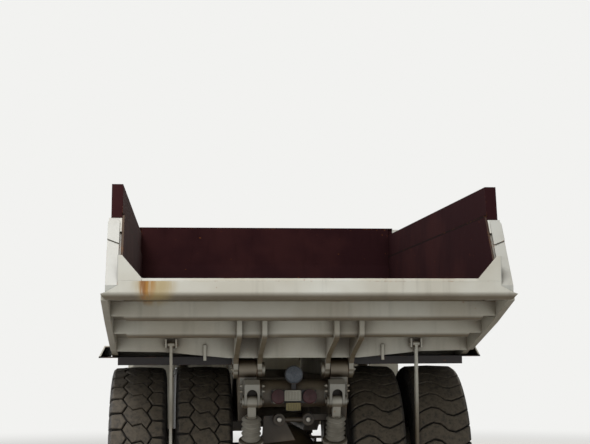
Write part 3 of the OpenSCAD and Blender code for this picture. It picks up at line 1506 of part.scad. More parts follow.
main_frame();
cross_tubes();
hoist_brackets();
strut_towers();
deck_supports();
front_bumper();
radiator_grille();
engine_hood();
powertrain();
front_decks();
access_ladders();
handrails();
cab_shell();
cab_roof();
cab_glass();
driver_seat();
driver_controls();
fuel_tank();
hydraulic_tank();
air_cleaner();
exhaust();
headlamps();
mirrors();
front_struts();
steering_barrels();
rear_axle();
rear_struts();
strut_bellows();
tail_lamps();
cab_door();
cab_door_glass();
body_floor();
body_underframe();
body_rails();
body_sides();
front_wall();
cab_guard();
sideboards();
rock_ejector_l();
rock_ejector_r();
hoist_barrel_l();
hoist_stage_l();
hoist_rod_l();
hoist_barrel_r();
hoist_stage_r();
hoist_rod_r();
knuckle_l();
knuckle_r();
tie_rod();
steering_rod_l();
steering_rod_r();
front_rim_l();
front_rim_r();
front_tyre_l();
front_tyre_r();
rear_rims_l();
rear_rims_r();
rear_tyres_l();
rear_tyres_r();
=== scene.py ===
"""Studio scene for a rigid dump truck seen from behind: finishes, tyres and small fittings."""
import math
from functools import reduce

import bmesh
import bpy
from mathutils import Matrix, Vector


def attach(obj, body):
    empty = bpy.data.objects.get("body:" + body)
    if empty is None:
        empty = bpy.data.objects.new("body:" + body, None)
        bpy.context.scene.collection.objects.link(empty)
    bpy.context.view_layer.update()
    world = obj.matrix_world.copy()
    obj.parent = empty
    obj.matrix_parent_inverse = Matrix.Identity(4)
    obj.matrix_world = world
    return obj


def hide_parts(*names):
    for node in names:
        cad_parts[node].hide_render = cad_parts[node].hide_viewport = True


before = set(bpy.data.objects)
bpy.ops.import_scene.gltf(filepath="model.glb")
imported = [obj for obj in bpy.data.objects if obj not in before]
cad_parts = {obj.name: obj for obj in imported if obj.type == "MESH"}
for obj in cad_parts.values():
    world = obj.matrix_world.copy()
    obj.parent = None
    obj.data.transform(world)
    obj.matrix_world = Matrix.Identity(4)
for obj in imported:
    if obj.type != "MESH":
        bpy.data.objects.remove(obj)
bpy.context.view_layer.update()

scene = bpy.context.scene

# ------------------------ places shared with the CAD, in metres

TAIL_Y = -3.9                                       # the floor's tail edge
HALF_LOAD, LINING_BACK = 1.387, 1.401               # the front wall's end, and the lining's back beside it
LINING_TOP_Z, LINING_RISE = 2.810, 0.04 / 4.8       # a lining's upper edge at the tail, and its rise forward
REAR_AXLE_Y, FRONT_AXLE_Y, WHEEL_Z = -1.5, 2.0, 0.82
TWIN_X, TWIN_STEP = 1.04, 0.2875                    # middle of a twin pair, and half the twins' spacing
FRONT_WHEEL_X, TYRE_R, RIM_R = 1.32, 0.82, 0.32
LUG_DEPTH, PITCHES = 0.038, 34                      # depth of the tread, and its repeats round a tyre
TUBE_REAR_Y = TAIL_Y + 1.522                        # rear of the cross tube that carries the lamps
CLEVIS_Y, CLEVIS_Z = TAIL_Y + 1.425, 1.440          # lower bolt of a strut clevis's keeper
HINGE_Y, HINGE_Z = TAIL_Y + 1.58, 1.622             # the body's hinge pins
BUMPER_Y, DECK_Z, TANK_Y = 3.858, 1.79, 0.12        # bumper's face, decks' top, rear end of the tanks
HEADLAMP_Y, HEADLAMP_Z, MIRROR_Y = 3.644, 1.5, 3.5625
SEAT_X, SEAT_Y, SEAT_Z = -0.985, 1.58, 1.8353       # foot of the driver's seat

# ------------------------ colours

DUST = "#a3957c"
CREAM = "#c9c6b8", "#b9b3a2", DUST  # whole, faded, and under dust
OXIDE, OXIDE_FADED = "#2a1516", "#351c1b"
# The near black of open joints, also used for painted shade
COOL_GREY, JOINT_AND_SHADE_DARK = "#aaa99f", "#1b100f"
# Road dirt colour, also painted shade where it darkens what faces down; the corner colour is painted shade
RAIN_DIRT, ROAD_GRIME_AND_SHADE, CORNER_SHADE = "#7d7463", "#7b6d58", "#6b5b47"
RUST_DEEP, RUST_LIGHT = "#6e3a17", "#a8672a"
PAPER, BACKDROP, SKY = "#cfcdc8", "#f2f2f0", "#e8edf2"


def linear(hex_colour):
    """An sRGB hex colour as linear RGBA."""
    parts = [int(hex_colour[i : i + 2], 16) / 255 for i in (1, 3, 5)]
    return [p / 12.92 if p <= 0.04045 else ((p + 0.055) / 1.055) ** 2.4 for p in parts] + [1.0]


# ------------------------ nodes

def wire(tree, node, inputs):
    """Fills a node's inputs: a socket is linked, a hex colour is made linear, any other value is set."""
    for key, value in inputs.items():
        if isinstance(value, bpy.types.NodeSocket):
            tree.links.new(value, node.inputs[key])
        else:
            node.inputs[key].default_value = linear(value) if isinstance(value, str) else value


def add(tree, kind, inputs=None, **settings):
    """Adds a node with its settings and inputs."""
    node = tree.nodes.new(kind)
    for name, value in settings.items():
        setattr(node, name, value)
    wire(tree, node, inputs or {})
    return node


def calc(tree, operation, a, b=0.0):
    """The result of one maths node."""
    return add(tree, "ShaderNodeMath", {0: a, 1: b}, operation=operation).outputs[0]


class Surface:
    """A material in the making, with where a point of it lies (x, y, z, and out from the truck's middle) and
    which way it faces (nx, ny, nz)."""

    def __init__(self, name):
        self.material = bpy.data.materials.new(name)
        self.material.use_nodes = True
        self.tree = self.material.node_tree
        self.shader = self.tree.nodes["Principled BSDF"]
        coords = self.add("ShaderNodeTexCoord").outputs
        self.place = coords["Object"]
        self.x, self.y, self.z = self.split(self.place)
        self.nx, self.ny, self.nz = self.split(coords["Normal"])
        self.out = self.calc("ABSOLUTE", self.x)

    def add(self, kind, inputs=None, **settings):
        return add(self.tree, kind, inputs, **settings)

    def split(self, vector):
        """The X, Y and Z of a vector."""
        return self.add("ShaderNodeSeparateXYZ", {0: vector}).outputs[:3]

    def calc(self, operation, a, b=0.0):
        return calc(self.tree, operation, a, b)

    def plus(self, *values):
        """The sum of the values."""
        return reduce(lambda a, b: self.calc("ADD", a, b), values)

    def times(self, *values):
        """The product of the values."""
        return reduce(lambda a, b: self.calc("MULTIPLY", a, b), values)

    def most(self, *values):
        """The largest of the values."""
        return reduce(lambda a, b: self.calc("MAXIMUM", a, b), values)

    def step(self, value, low, high):
        """0 up to low and 1 from high, with a smooth rise between; low may be the larger one."""
        inputs = {0: value, 1: low, 2: high}
        return self.add("ShaderNodeMapRange", inputs, interpolation_type="SMOOTHSTEP").outputs[0]

    def within(self, value, low, high, soft=0.002):
        """1 where a value lies between two limits."""
        return self.times(self.step(value, low - soft, low + soft),
                          self.step(value, high + soft, high - soft))

    def mix(self, factor, a, b, blend="MIX"):
        """Colour a where the factor is 0, and b blended with it where the factor is 1."""
        inputs = {0: factor, 6: a, 7: b}
        return self.add("ShaderNodeMix", inputs, data_type="RGBA", blend_type=blend).outputs[2]

    def noise(self, scale, detail, rough=0.55, stretch=None):
        """Noise of so many waves a metre; stretch squeezes it along X, Y and Z."""
        place = self.place
        if stretch:
            place = self.add("ShaderNodeMapping", {0: place, 3: stretch}).outputs[0]
        inputs = {"Vector": place, "Scale": scale, "Detail": detail, "Roughness": rough}
        return self.add("ShaderNodeTexNoise", inputs).outputs[0]

    def rounded(self, radius):
        """The normal over edges rounded by a radius."""
        return self.add("ShaderNodeBevel", {"Radius": radius}, samples=4).outputs[0]

    def finish(self, colour, rough, height=None, height_mm=1.0, round_mm=1.0, **shading):
        """Fills the shader, with a bump of so many millimetres over rounded edges, and gives the material."""
        if height is not None:
            shading["Normal"] = self.add("ShaderNodeBump", {
                "Height": height, "Distance": height_mm / 1000, "Strength": 1.0,
                "Normal": self.rounded(round_mm / 1000)}).outputs[0]
        wire(self.tree, self.shader, {"Base Color": colour, "Roughness": rough, **shading})
        return self.material


# ------------------------ where one finish gives way to another

# Limits of a fade, from none to all: parts of a unit normal, and places on the CAD
FACES_IN, FACES_BACK, EDGE_FACES_BACK, FACES_UP = (0.3, 0.5), (-0.2, -0.4), (-0.3, -0.5), (0.15, 0.3)
LINING_X, LINING_JOINT_X, LINING_SHADE_X = (1.408, 1.403), (1.412, 1.406), (1.404, 1.402)
WALL_X, WALL_Y, FOOT_Z, MARKS_Z = (1.452, 1.446), (0.0, 0.2), (2.36, 2.28), (2.62, 2.5)
POST_X, POST_Y, POST_Z = (1.412, 1.418), (TAIL_Y + 0.46, TAIL_Y + 0.44), (2.19, 2.21)
GUARD_Y, GUARD_Z = (TAIL_Y + 1.62, TAIL_Y + 1.64), (1.742, 1.738)
# Limits of a zone, from side to side
# The joint's band reaches up onto the sideboard as a painted contact shadow
JOINT_AND_SHADOW_BAND = (-0.012, 0.010)
CLEVIS_ZONE = (0.262, 0.458), (TAIL_Y + 1.30, TAIL_Y + 1.53), (1.24, 1.56)


def load_side(s):
    """1 on the faces of the side walls that look into the load space, and on the linings' upper edges."""
    inward = s.times(s.nx, s.calc("SIGN", s.x), -1.0)
    return s.times(s.step(s.most(inward, s.nz), *FACES_IN), s.step(s.out, *LINING_X))


def wall_rear_face(s):
    """1 on the rear face of the front wall."""
    return s.times(s.step(s.ny, *FACES_BACK), s.step(s.out, *WALL_X))


def all_over(s):
    """1 everywhere."""
    return 1.0


def rear_edge(s):
    """1 on what looks back."""
    return s.step(s.ny, *EDGE_FACES_BACK)


def floor_top(s):
    """1 on the upper faces of the floor plate."""
    return s.step(s.nz, *FACES_UP)


def shaded_tail_posts(s):
    """1 on the leaning posts at the tail, which get a cooler, darker grey as painted shade."""
    return s.times(s.step(s.out, *POST_X), s.step(s.y, *POST_Y), s.step(s.z, *POST_Z))


def wall_shade_and_runs(s):
    """1 in the painted shade at the foot of the front wall, and down some run marks on the linings."""
    foot = s.times(s.step(s.y, *WALL_Y), s.step(s.z, *FOOT_Z))
    marks = s.step(s.noise(1.0, 2, stretch=(1, 11, 0.8)), 0.66, 0.72)
    marks = s.times(marks, s.step(s.z, *MARKS_Z))
    return s.times(s.most(foot, marks), s.step(s.out, *LINING_SHADE_X), 0.55)


def lining_joint_and_shadow(s):
    """1 in the open joint between a lining's upper edge and the sideboard behind it, and in a painted contact
    shadow on the sideboard just above it.
    """
    edge = s.plus(s.times(s.plus(s.y, -TAIL_Y), LINING_RISE), LINING_TOP_Z)
    near = s.within(s.calc("SUBTRACT", s.z, edge), *JOINT_AND_SHADOW_BAND, 0.003)
    return s.times(near, s.step(s.out, *LINING_JOINT_X))


def clevises(s):
    """1 on the clevises that hold the rear struts, which are painted paler than the frame."""
    return s.times(*(s.within(place, *limits) for place, limits in zip((s.out, s.y, s.z), CLEVIS_ZONE)))


def shaded_guard_plate(s):
    """1 on the guard plate that hangs over the tyres, darkened to near black as painted shade."""
    return s.times(s.step(s.y, *GUARD_Y), s.step(s.z, *GUARD_Z))


# ------------------------ kinds of material

SPRAY_Z = (1.75, 1.0)                       # where the spray from the wheels starts, and where it lies thick
COOL_SHARE, DUST_SHARE = 0.8, 0.7
CORNER_REACH, KNOCKED_R = 0.30, 0.009       # how far the painted corner shade reaches; radius of a knocked edge


def enamel(name, base, faded, dust=DUST, wear=0.5, grime_and_shade=0.5, stains=(), primer=None, cool=None, seams=()):
    """Alkyd enamel sprayed on rolled plate and left outdoors: a satin coat that has faded in clouds, with
    faint rain runs, brown road dirt low down, road dirt and painted shade on what faces down, painted shade
    in corners, dust on what faces up, rust where the edges are knocked, and stains. The primer, the cooler
    grey (paint on the clevises, painted shade on the tail posts) and the dark seams and painted shade bands
    are set by where they lie."""
    s = Surface(name)
    # Clouds of fading about 0.6 m wide, rain runs 60 mm wide and 1 m long, and the coat's fine grit
    clouds = s.noise(1.6, 3)
    runs = s.noise(1.0, 2, stretch=(15, 15, 0.9))
    grit = s.noise(60, 3)
    colour = s.mix(s.step(clouds, 0.35, 0.7), base, faded)
    # The cooler grey is paint on the clevises, and painted shade on the tail posts
    if cool:
        colour = s.mix(s.times(cool(s), COOL_SHARE), colour, COOL_GREY)
    bare = primer(s) if primer else 0.0
    colour = s.mix(bare, colour, s.mix(s.step(clouds, 0.4, 0.7), OXIDE, OXIDE_FADED))
    colour = s.mix(s.times(s.step(runs, 0.5, 0.95), grime_and_shade * 0.45), colour, RAIN_DIRT, "MULTIPLY")
    # Road dirt thrown up by the wheels low on the truck, and road dirt with painted shade on faces that look
    # down
    below = s.times(s.step(s.nz, 0.0, -0.7), s.step(clouds, 0.05, 0.35))
    low = s.times(s.step(s.z, *SPRAY_Z), s.step(clouds, 0.3, 0.6))
    colour = s.mix(s.times(s.most(below, low), min(1.0, grime_and_shade * 1.2)), colour, ROAD_GRIME_AND_SHADE, "MULTIPLY")
    dusty = s.times(s.step(s.nz, 0.2, 0.95), s.step(clouds, 0.0, 0.85), DUST_SHARE)
    colour = s.mix(dusty, colour, dust)
    # Dark bands: open joints, and painted shade at the wall's foot, on the sideboards above the linings and
    # on the guard plate
    for seam in seams:
        colour = s.mix(seam(s), colour, JOINT_AND_SHADE_DARK)
    # Painted shade in corners and between beams, darker where less of the sky is open
    open_sky = s.add("ShaderNodeAmbientOcclusion", {"Distance": CORNER_REACH}, samples=6).outputs["AO"]
    painted_corner_shade = s.times(s.step(open_sky, 0.85, 0.25), min(1.0, grime_and_shade * 1.1))
    colour = s.mix(painted_corner_shade, colour, CORNER_SHADE, "MULTIPLY")
    # Knocked edges: where the normal of a bevel leaves the plate's own
    normals = {0: s.rounded(KNOCKED_R), 1: s.add("ShaderNodeNewGeometry").outputs["True Normal"]}
    turn = s.add("ShaderNodeVectorMath", normals, operation="DOT_PRODUCT").outputs["Value"]
    knocked = s.times(s.step(turn, 0.985, 0.86), s.step(s.noise(9, 5, 0.7), 0.52, 0.62), wear)
    spots = s.times(s.step(s.noise(22, 4, 0.6), 0.69, 0.75), wear)
    rusty = s.most(knocked, spots)
    colour = s.mix(rusty, colour, s.mix(s.step(grit, 0.4, 0.62), RUST_DEEP, RUST_LIGHT))
    # Stains: ellipses of colour, broken into streaks that run down
    streaks, bleed = s.noise(1.0, 3, stretch=(30, 30, 3)), 0.0
    for at_x, at_z, half_wide, half_tall, strength, tint in stains:
        across = s.calc("DIVIDE", s.plus(s.x, -at_x), half_wide)
        down = s.calc("DIVIDE", s.plus(s.z, -at_z), half_tall)
        away = s.plus(s.times(across, across), s.times(down, down))
        patch = s.times(s.step(away, 1.0, 0.0), s.step(streaks, 0.15, 0.55), strength)
        colour = s.mix(patch, colour, tint)
        bleed = s.most(bleed, patch)
    # Satin where the enamel is whole; rust, dust and stains are matt, and so is the primer
    satin = s.plus(s.times(grit, 0.16), 0.38)
    rough = s.most(satin, s.times(s.most(rusty, dusty, bleed), 0.85), s.times(bare, 0.9))
    gleam = s.calc("SUBTRACT", 0.5, s.times(bare, 0.46))
    height = s.plus(s.times(grit, 0.12), s.noise(5, 2))
    return s.finish(colour, rough, height, 2.5, 5.0, **{"Specular IOR Level": gleam})


def metal(name, base, tarnish, rough, polish=1.0, grain=(1, 1, 1)):
    """Bare metal with a directional grain and tarnish in clouds."""
    s = Surface(name)
    lines = s.noise(40, 3, stretch=grain)
    colour = s.mix(s.step(s.noise(4, 4), 0.4, 0.7), base, tarnish)
    return s.finish(colour, s.plus(s.times(lines, 0.18), rough), lines, 0.15, 3.0, Metallic=polish)


def rubber_tyre(name, base, dust, tread):
    """Vulcanised natural rubber, worn and cut by stone: pale clay dust on the treads' tops, near black in the
    grooves and where a flank turns under."""
    s = Surface(name)
    # The distance from the nearer axle tells the tread's top from its grooves
    axle = s.plus(s.times(s.step(s.y, 0.2, 0.3), FRONT_AXLE_Y - REAR_AXLE_Y), REAR_AXLE_Y)
    along, rise = s.calc("SUBTRACT", s.y, axle), s.plus(s.z, -WHEEL_Z)
    radius = s.calc("POWER", s.plus(s.times(along, along), s.times(rise, rise)), 0.5)
    top = s.step(radius, TYRE_R - 0.030, TYRE_R - 0.006)
    # Clouds of dust 0.3 m wide, grit of 7 mm and cuts of 40 mm
    clouds = s.noise(3.2, 5, 0.6)
    grit = s.noise(140, 3)
    cuts = s.noise(26, 5, 0.7)
    colour = s.mix(s.step(clouds, 0.3, 0.75), base, dust)
    colour = s.mix(s.times(top, s.step(cuts, 0.25, 0.6), 0.85), colour, tread)
    colour = s.mix(s.times(s.step(grit, 0.5, 0.7), 0.25), colour, tread)
    rough = s.plus(s.times(clouds, 0.2), 0.68)
    return s.finish(colour, rough, s.plus(s.times(grit, 0.15), cuts), 3.0, 6.0, IOR=1.52)


def moulded(name, base, worn, rough, grain_mm=1.5):
    """A moulded plastic, lens or vinyl with a fine grain, faded in clouds."""
    s = Surface(name)
    grain = s.noise(1000 / (grain_mm * 4), 2)
    colour = s.mix(s.step(s.noise(5, 3), 0.35, 0.75), base, worn)
    return s.finish(colour, s.plus(s.times(grain, 0.15), rough), grain, 0.3, 2.0, IOR=1.49)


def window_glass(name):
    """Laminated safety glass: float glass with a faint green body under a broken film of dust."""
    s = Surface(name)
    film = s.noise(7, 4)
    colour = s.mix(s.step(film, 0.4, 0.8), "#dfe8e4", "#b9b8aa")
    return s.finish(colour, s.times(s.step(film, 0.45, 0.9), 0.35), **{"Transmission Weight": 0.9})


# ------------------------ the truck's materials

# Stains on the tail: place across and up, half width and half height, strength, colour
RUST_STAINS = [
    (-1.15, 2.26, 0.19, 0.17, 0.75, "#a08648"), (-1.205, 2.26, 0.075, 0.155, 0.9, "#9c6a1c"),
    (-1.235, 2.25, 0.028, 0.14, 0.8, "#7c4a18"), (-0.80, 2.298, 0.16, 0.022, 0.6, "#b39a5a"),
    (0.20, 2.30, 0.30, 0.012, 0.5, "#8f7446"), (1.20, 2.302, 0.12, 0.014, 0.5, "#8f7446"),
]

# The body: enamel sprayed outside over red oxide primer, which is all that is left where the load slides
body_cream = enamel("cream_alkyd_enamel_on_body_plate", *CREAM, 0.6, 0.8, RUST_STAINS)
# The guard plate over the tyres is darkened as painted shade
underframe_cream = enamel("cream_enamel_with_painted_shade_on_guard_plate", *CREAM, 0.6, 0.8, RUST_STAINS,
                          seams=[shaded_guard_plate])
sides_cream = enamel("cream_enamel_with_red_oxide_inside", *CREAM, 0.6, 0.6,
                     primer=load_side, cool=shaded_tail_posts, seams=[wall_shade_and_runs, lining_joint_and_shadow])
# The front wall's near-black dust colour is painted shade on its upward faces at the foot
wall_cream = enamel("cream_enamel_with_red_oxide_behind", *CREAM[:2], "#1f1213", 0.6, 0.6,
                    primer=wall_rear_face, seams=[wall_shade_and_runs])
floor_cream = enamel("red_oxide_over_worn_floor_plate", "#d6d3c6", "#c4bda9", "#2a1a17", 0.6, 0.8,
                     primer=floor_top)
guard_cream = enamel("cream_enamel_with_red_oxide_edge", *CREAM, 0.5, 0.6, primer=rear_edge)
red_oxide = enamel("red_oxide_primer_on_sideboards", OXIDE, OXIDE_FADED, "#4f332c", 0.3, 0.4,
                   primer=all_over, seams=[lining_joint_and_shadow])
# Chassis and cab: enamel baked on clean sheet for the cab, brushed over mill scale and road dirt on the frame
cab_cream = enamel("cream_alkyd_enamel_on_cab_sheet", "#d0ccbd", "#c2bcaa", DUST, 0.25, 0.35)
frame_beige = enamel("beige_enamel_on_frame_plate", "#8d8371", "#786c58", "#8a7a60", 0.5, 0.9, cool=clevises)
clevis_grey = enamel("pale_enamel_on_strut_steel", "#c4c1b4", "#b0ac9d", DUST, 0.4, 0.7)
# The hoist barrels get a dark grey as painted shade, for the shade under the body
shaded_hoist_grey = enamel("grey_enamel_darkened_as_painted_shade_on_hoist_barrel", "#4b4842", "#3d3a35", "#6b6252", 0.3, 0.8)
dark_enamel = enamel("black_enamel_on_sheet", "#26262a", "#33322f", "#6e675a", 0.2, 0.3)
# Cast, drawn, plated and ground: from a dull oily brown to a mirror with marks along the rod
cast_steel = metal("cast_steel_with_oil_film", "#6d675d", "#4b4439", 0.42, 0.7)
drawn_steel = metal("exhaust_tube_heat_browned", "#7a7067", "#5d4635", 0.38, 0.9)
hard_chrome = metal("hard_chrome_on_ground_rod", "#c9cbcc", "#a8a8a4", 0.10, 1.0, (1, 1, 0.1))
ground_steel = metal("ground_steel_ball_cap", "#a9a59c", "#7b756a", 0.22)
zinc = metal("zinc_plated_fastener", "#8d8a80", "#6d5f49", 0.35, 0.9)
silvered = metal("silvered_mirror_glass", "#d9dde0", "#c3c8cc", 0.03, 1.0)
# Rubber and plastics: pressed, blown or injected in moulds, dull where they are rubbed or sunburnt
dusty_tyre = rubber_tyre("tyre_tread_rubber_with_clay_dust", "#201e1c", "#38332c", "#645a4a")
bellows_rubber = moulded("bellows_polyurethane_dusty", "#9a9588", "#7d776a", 0.55, 2.0)
black_plastic = moulded("black_abs_moulding", "#202124", "#2e2e2e", 0.45)
seat_cloth = moulded("black_vinyl_seat_cover", "#232325", "#34332f", 0.5, 0.8)
red_lens = moulded("dark_red_acrylic_reflector", "#3c0d10", "#2a080a", 0.32, 3.0)
grey_lens = moulded("clouded_polycarbonate_lamp", "#565c63", "#434950", 0.2, 3.0)
clear_lens = moulded("clear_acrylic_lamp", "#c9cdd0", "#a5a8aa", 0.1, 3.0)
lamp_box = moulded("pale_lamp_box_moulding", "#a9a595", "#8f8a7b", 0.35)
amber_box = moulded("yellowed_lamp_moulding", "#867a4c", "#6a6140", 0.3)
cab_glass = window_glass("laminated_safety_glass")

# Which finish each CAD node gets
FINISH = [
    (frame_beige, "main_frame cross_tubes hoist_brackets strut_towers deck_supports front_struts"),
    (frame_beige, "steering_barrels rear_axle knuckle_l knuckle_r tie_rod"),
    (cab_cream, "front_bumper radiator_grille engine_hood front_decks access_ladders handrails cab_shell"),
    (cab_cream, "cab_roof cab_door fuel_tank hydraulic_tank air_cleaner"),
    (cab_cream, "front_rim_l front_rim_r rear_rims_l rear_rims_r"),
    (cab_glass, "cab_glass cab_door_glass"),
    (seat_cloth, "driver_seat"),
    (black_plastic, "driver_controls"),
    (cast_steel, "powertrain"),
    (drawn_steel, "exhaust"),
    (dark_enamel, "headlamps mirrors tail_lamps"),
    (clevis_grey, "rear_struts"),
    (bellows_rubber, "strut_bellows"),
    (floor_cream, "body_floor"),
    (underframe_cream, "body_underframe"),
    (body_cream, "body_rails rock_ejector_l rock_ejector_r"),
    (sides_cream, "body_sides"),
    (wall_cream, "front_wall"),
    (guard_cream, "cab_guard"),
    (red_oxide, "sideboards"),
    (shaded_hoist_grey, "hoist_barrel_l hoist_barrel_r"),
    (hard_chrome, "hoist_stage_l hoist_stage_r hoist_rod_l hoist_rod_r steering_rod_l steering_rod_r"),
    (dusty_tyre, "front_tyre_l front_tyre_r rear_tyres_l rear_tyres_r"),
]
for material, node_names in FINISH:
    for node_name in node_names.split():
        slots = bpy.data.objects[node_name].data.materials
        slots.clear()
        slots.append(material)


# ------------------------ making of pieces

def to_mesh(bm, name="part"):
    """The plain mesh of a bmesh, which is freed."""
    mesh = bpy.data.meshes.new(name)
    bm.to_mesh(mesh)
    bm.free()
    return mesh


def in_scene(name, data):
    """A new object in the scene."""
    obj = bpy.data.objects.new(name, data)
    scene.collection.objects.link(obj)
    return obj


def evaluated(obj):
    """The object's mesh as its modifiers leave it."""
    return bpy.data.meshes.new_from_object(obj.evaluated_get(bpy.context.evaluated_depsgraph_get()))


def piece(name, bm, body, material):
    """A new object at the origin that rides on a body, with the given finish."""
    for face in bm.faces:
        face.material_index = 0
    obj = in_scene(name, to_mesh(bm, name))
    obj.data.materials.append(material)
    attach(obj, body)
    return obj


def copies_tree():
    """Geometry Nodes: copies of a pattern, each one step on from the last, and turned about the X axis by its
    share of the spread."""
    tree = bpy.data.node_groups.new("copies", "GeometryNodeTree")
    for name, kind in (("Pattern", "Geometry"), ("Count", "Int"), ("Finish", "Material"), ("Place", "Vector"),
                       ("Step", "Vector"), ("Angle", "Float"), ("Spread", "Float")):
        tree.interface.new_socket(name, in_out="INPUT", socket_type="NodeSocket" + kind)
    tree.interface.new_socket("Result", in_out="OUTPUT", socket_type="NodeSocketGeometry")
    given = add(tree, "NodeGroupInput").outputs
    seats = add(tree, "GeometryNodeMeshLine", {"Count": given["Count"], "Start Location": given["Place"],
                                              "Offset": given["Step"]}).outputs[0]
    turned_by = calc(tree, "MULTIPLY", add(tree, "GeometryNodeInputIndex").outputs[0], given["Spread"])
    turned_by = calc(tree, "ADD", calc(tree, "DIVIDE", turned_by, given["Count"]), given["Angle"])
    copied = add(tree, "GeometryNodeInstanceOnPoints", {
        "Points": seats, "Instance": given["Pattern"],
        "Rotation": add(tree, "ShaderNodeCombineXYZ", {0: turned_by}).outputs[0]}).outputs[0]
    real = add(tree, "GeometryNodeRealizeInstances", {0: copied}).outputs[0]
    finished = add(tree, "GeometryNodeSetMaterial", {"Geometry": real, "Material": given["Finish"]})
    add(tree, "NodeGroupOutput", {0: finished.outputs[0]})
    return tree


COPIES = copies_tree()
COPIES_INPUTS = {item.name: item.identifier for item in COPIES.interface.items_tree if item.in_out == "INPUT"}
ORIGIN = (0.0, 0.0, 0.0)


def copies(pattern, count, finish, place, step=ORIGIN, angle=0.0, spread=0.0):
    """Copies of a bmesh pattern from a place on, as one plain mesh."""
    holder = in_scene("holder", to_mesh(pattern))
    modifier = holder.modifiers.new("copies", "NODES")
    modifier.node_group = COPIES
    for name, value in (("Count", count), ("Finish", finish), ("Place", place), ("Step", step),
                        ("Angle", angle), ("Spread", spread)):
        modifier[COPIES_INPUTS[name]] = value
    made = evaluated(holder)
    bpy.data.objects.remove(holder)
    return made


def gathered(*parts):
    """One bmesh of several meshes and bmeshes."""
    bm = bmesh.new()
    for part in parts:
        bm.from_mesh(part if isinstance(part, bpy.types.Mesh) else to_mesh(part))
    return bm


def bridge(bm, rings, closed=False, smooth=False):
    """Faces from each ring of points to the next, and from the last to the first where it is closed."""
    for a, b in zip(rings, rings[1:] + (rings[:1] if closed else [])):
        for i in range(len(a)):
            j = (i + 1) % len(a)
            bm.faces.new((a[i], a[j], b[j], b[i])).smooth = smooth


def outward(bm):
    """Turns all faces outward."""
    bmesh.ops.recalc_face_normals(bm, faces=bm.faces)
    return bm


def moved(bm, place):
    """Moves a bmesh."""
    bmesh.ops.translate(bm, verts=bm.verts, vec=Vector(place))
    return bm


def rotated(bm, matrix):
    """Turns a bmesh about the origin."""
    bmesh.ops.rotate(bm, cent=ORIGIN, matrix=matrix, verts=bm.verts)
    return bm


def mirrored(bm):
    """Swaps left and right, which leaves the faces inside out."""
    for vertex in bm.verts:
        vertex.co.x = -vertex.co.x
    return bm


def round_angles(steps):
    """The angles of equal steps round a circle."""
    return [math.tau * i / steps for i in range(steps)]


def revolved(profile, steps, closed=True, smooth=True):
    """A profile of (across, radius) turned about the X axis."""
    bm = bmesh.new()
    rings = [[bm.verts.new((x, -r * math.sin(a), r * math.cos(a))) for a in round_angles(steps)]
             for x, r in profile]
    bridge(bm, rings, closed, smooth)
    return outward(bm)


def turned(profile, steps):
    """A closed solid turned about X, from a profile of (along, radius) that starts and ends on the axis."""
    bm = revolved(profile, steps, closed=False, smooth=False)
    bmesh.ops.remove_doubles(bm, verts=bm.verts, dist=1e-6)
    return outward(bm)


def plate(outline, x0, x1, bevel=0.0):
    """A plate between two places on X from its outline of (y, z), with bevelled edges."""
    bm = bmesh.new()
    rings = [[bm.verts.new((x, y, z)) for y, z in outline] for x in (x0, x1)]
    for ring in rings:
        bm.faces.new(ring)
    bridge(bm, rings)
    outward(bm)
    if bevel:
        bmesh.ops.bevel(bm, geom=list(bm.edges), offset=bevel, segments=2, affect="EDGES", profile=0.6)
    return bm


def box(x0, x1, y0, y1, z0, z1, bevel=0.0):
    """A box between its limits on each axis, with bevelled edges."""
    return plate([(y0, z0), (y1, z0), (y1, z1), (y0, z1)], x0, x1, bevel)


# ------------------------ tyres

# The tread's section from its middle to the shoulder: across, radius
SHOULDER = [(0.0, TYRE_R), (0.205, TYRE_R - 0.008), (0.232, TYRE_R - 0.030), (0.243, TYRE_R - 0.075),
            (0.247, TYRE_R - 0.125)]
PITCH = math.tau * TYRE_R / PITCHES
WAVE_GROOVE, STONE_GROOVE = 0.018, 0.013        # widths of the grooves of the two treads
REACH = 0.315                                   # arc length from the tread's middle to a block's outer end
BEVEL = 0.007
# A block's side from under the casing to its top: depth below the tread, and how far in from the outline
BLOCK_SIDE = [(LUG_DEPTH + 0.012, -0.005), (BEVEL, 0.0), (0.0015, BEVEL * 0.6), (0.0, BEVEL)]


def on_tread(across, along, depth):
    """The point of the tyre at an arc length across the tread and along it, so far below the tread."""
    side = 1 if across >= 0 else -1
    left = abs(across)
    for (x0, r0), (x1, r1) in zip(SHOULDER, SHOULDER[1:]):
        span = math.hypot(x1 - x0, r1 - r0)
        if left <= span or (x1, r1) == SHOULDER[-1]:
            t = min(left / span, 1.0)
            out = Vector((r0 - r1, x1 - x0)).normalized()
            x, r = x0 + (x1 - x0) * t - out.x * depth, r0 + (r1 - r0) * t - out.y * depth
            break
        left -= span
    angle = along / TYRE_R
    return Vector((side * x, -r * math.sin(angle), r * math.cos(angle)))


def finer(outline, longest=0.045):
    """The outline with its long sides split, so that a block follows the curve of the tyre."""
    points = []
    for (a0, s0), (a1, s1) in zip(outline, outline[1:] + outline[:1]):
        n = max(1, math.ceil(math.hypot(a1 - a0, s1 - s0) / longest))
        points += [(a0 + (a1 - a0) * i / n, s0 + (s1 - s0) * i / n) for i in range(n)]
    return points


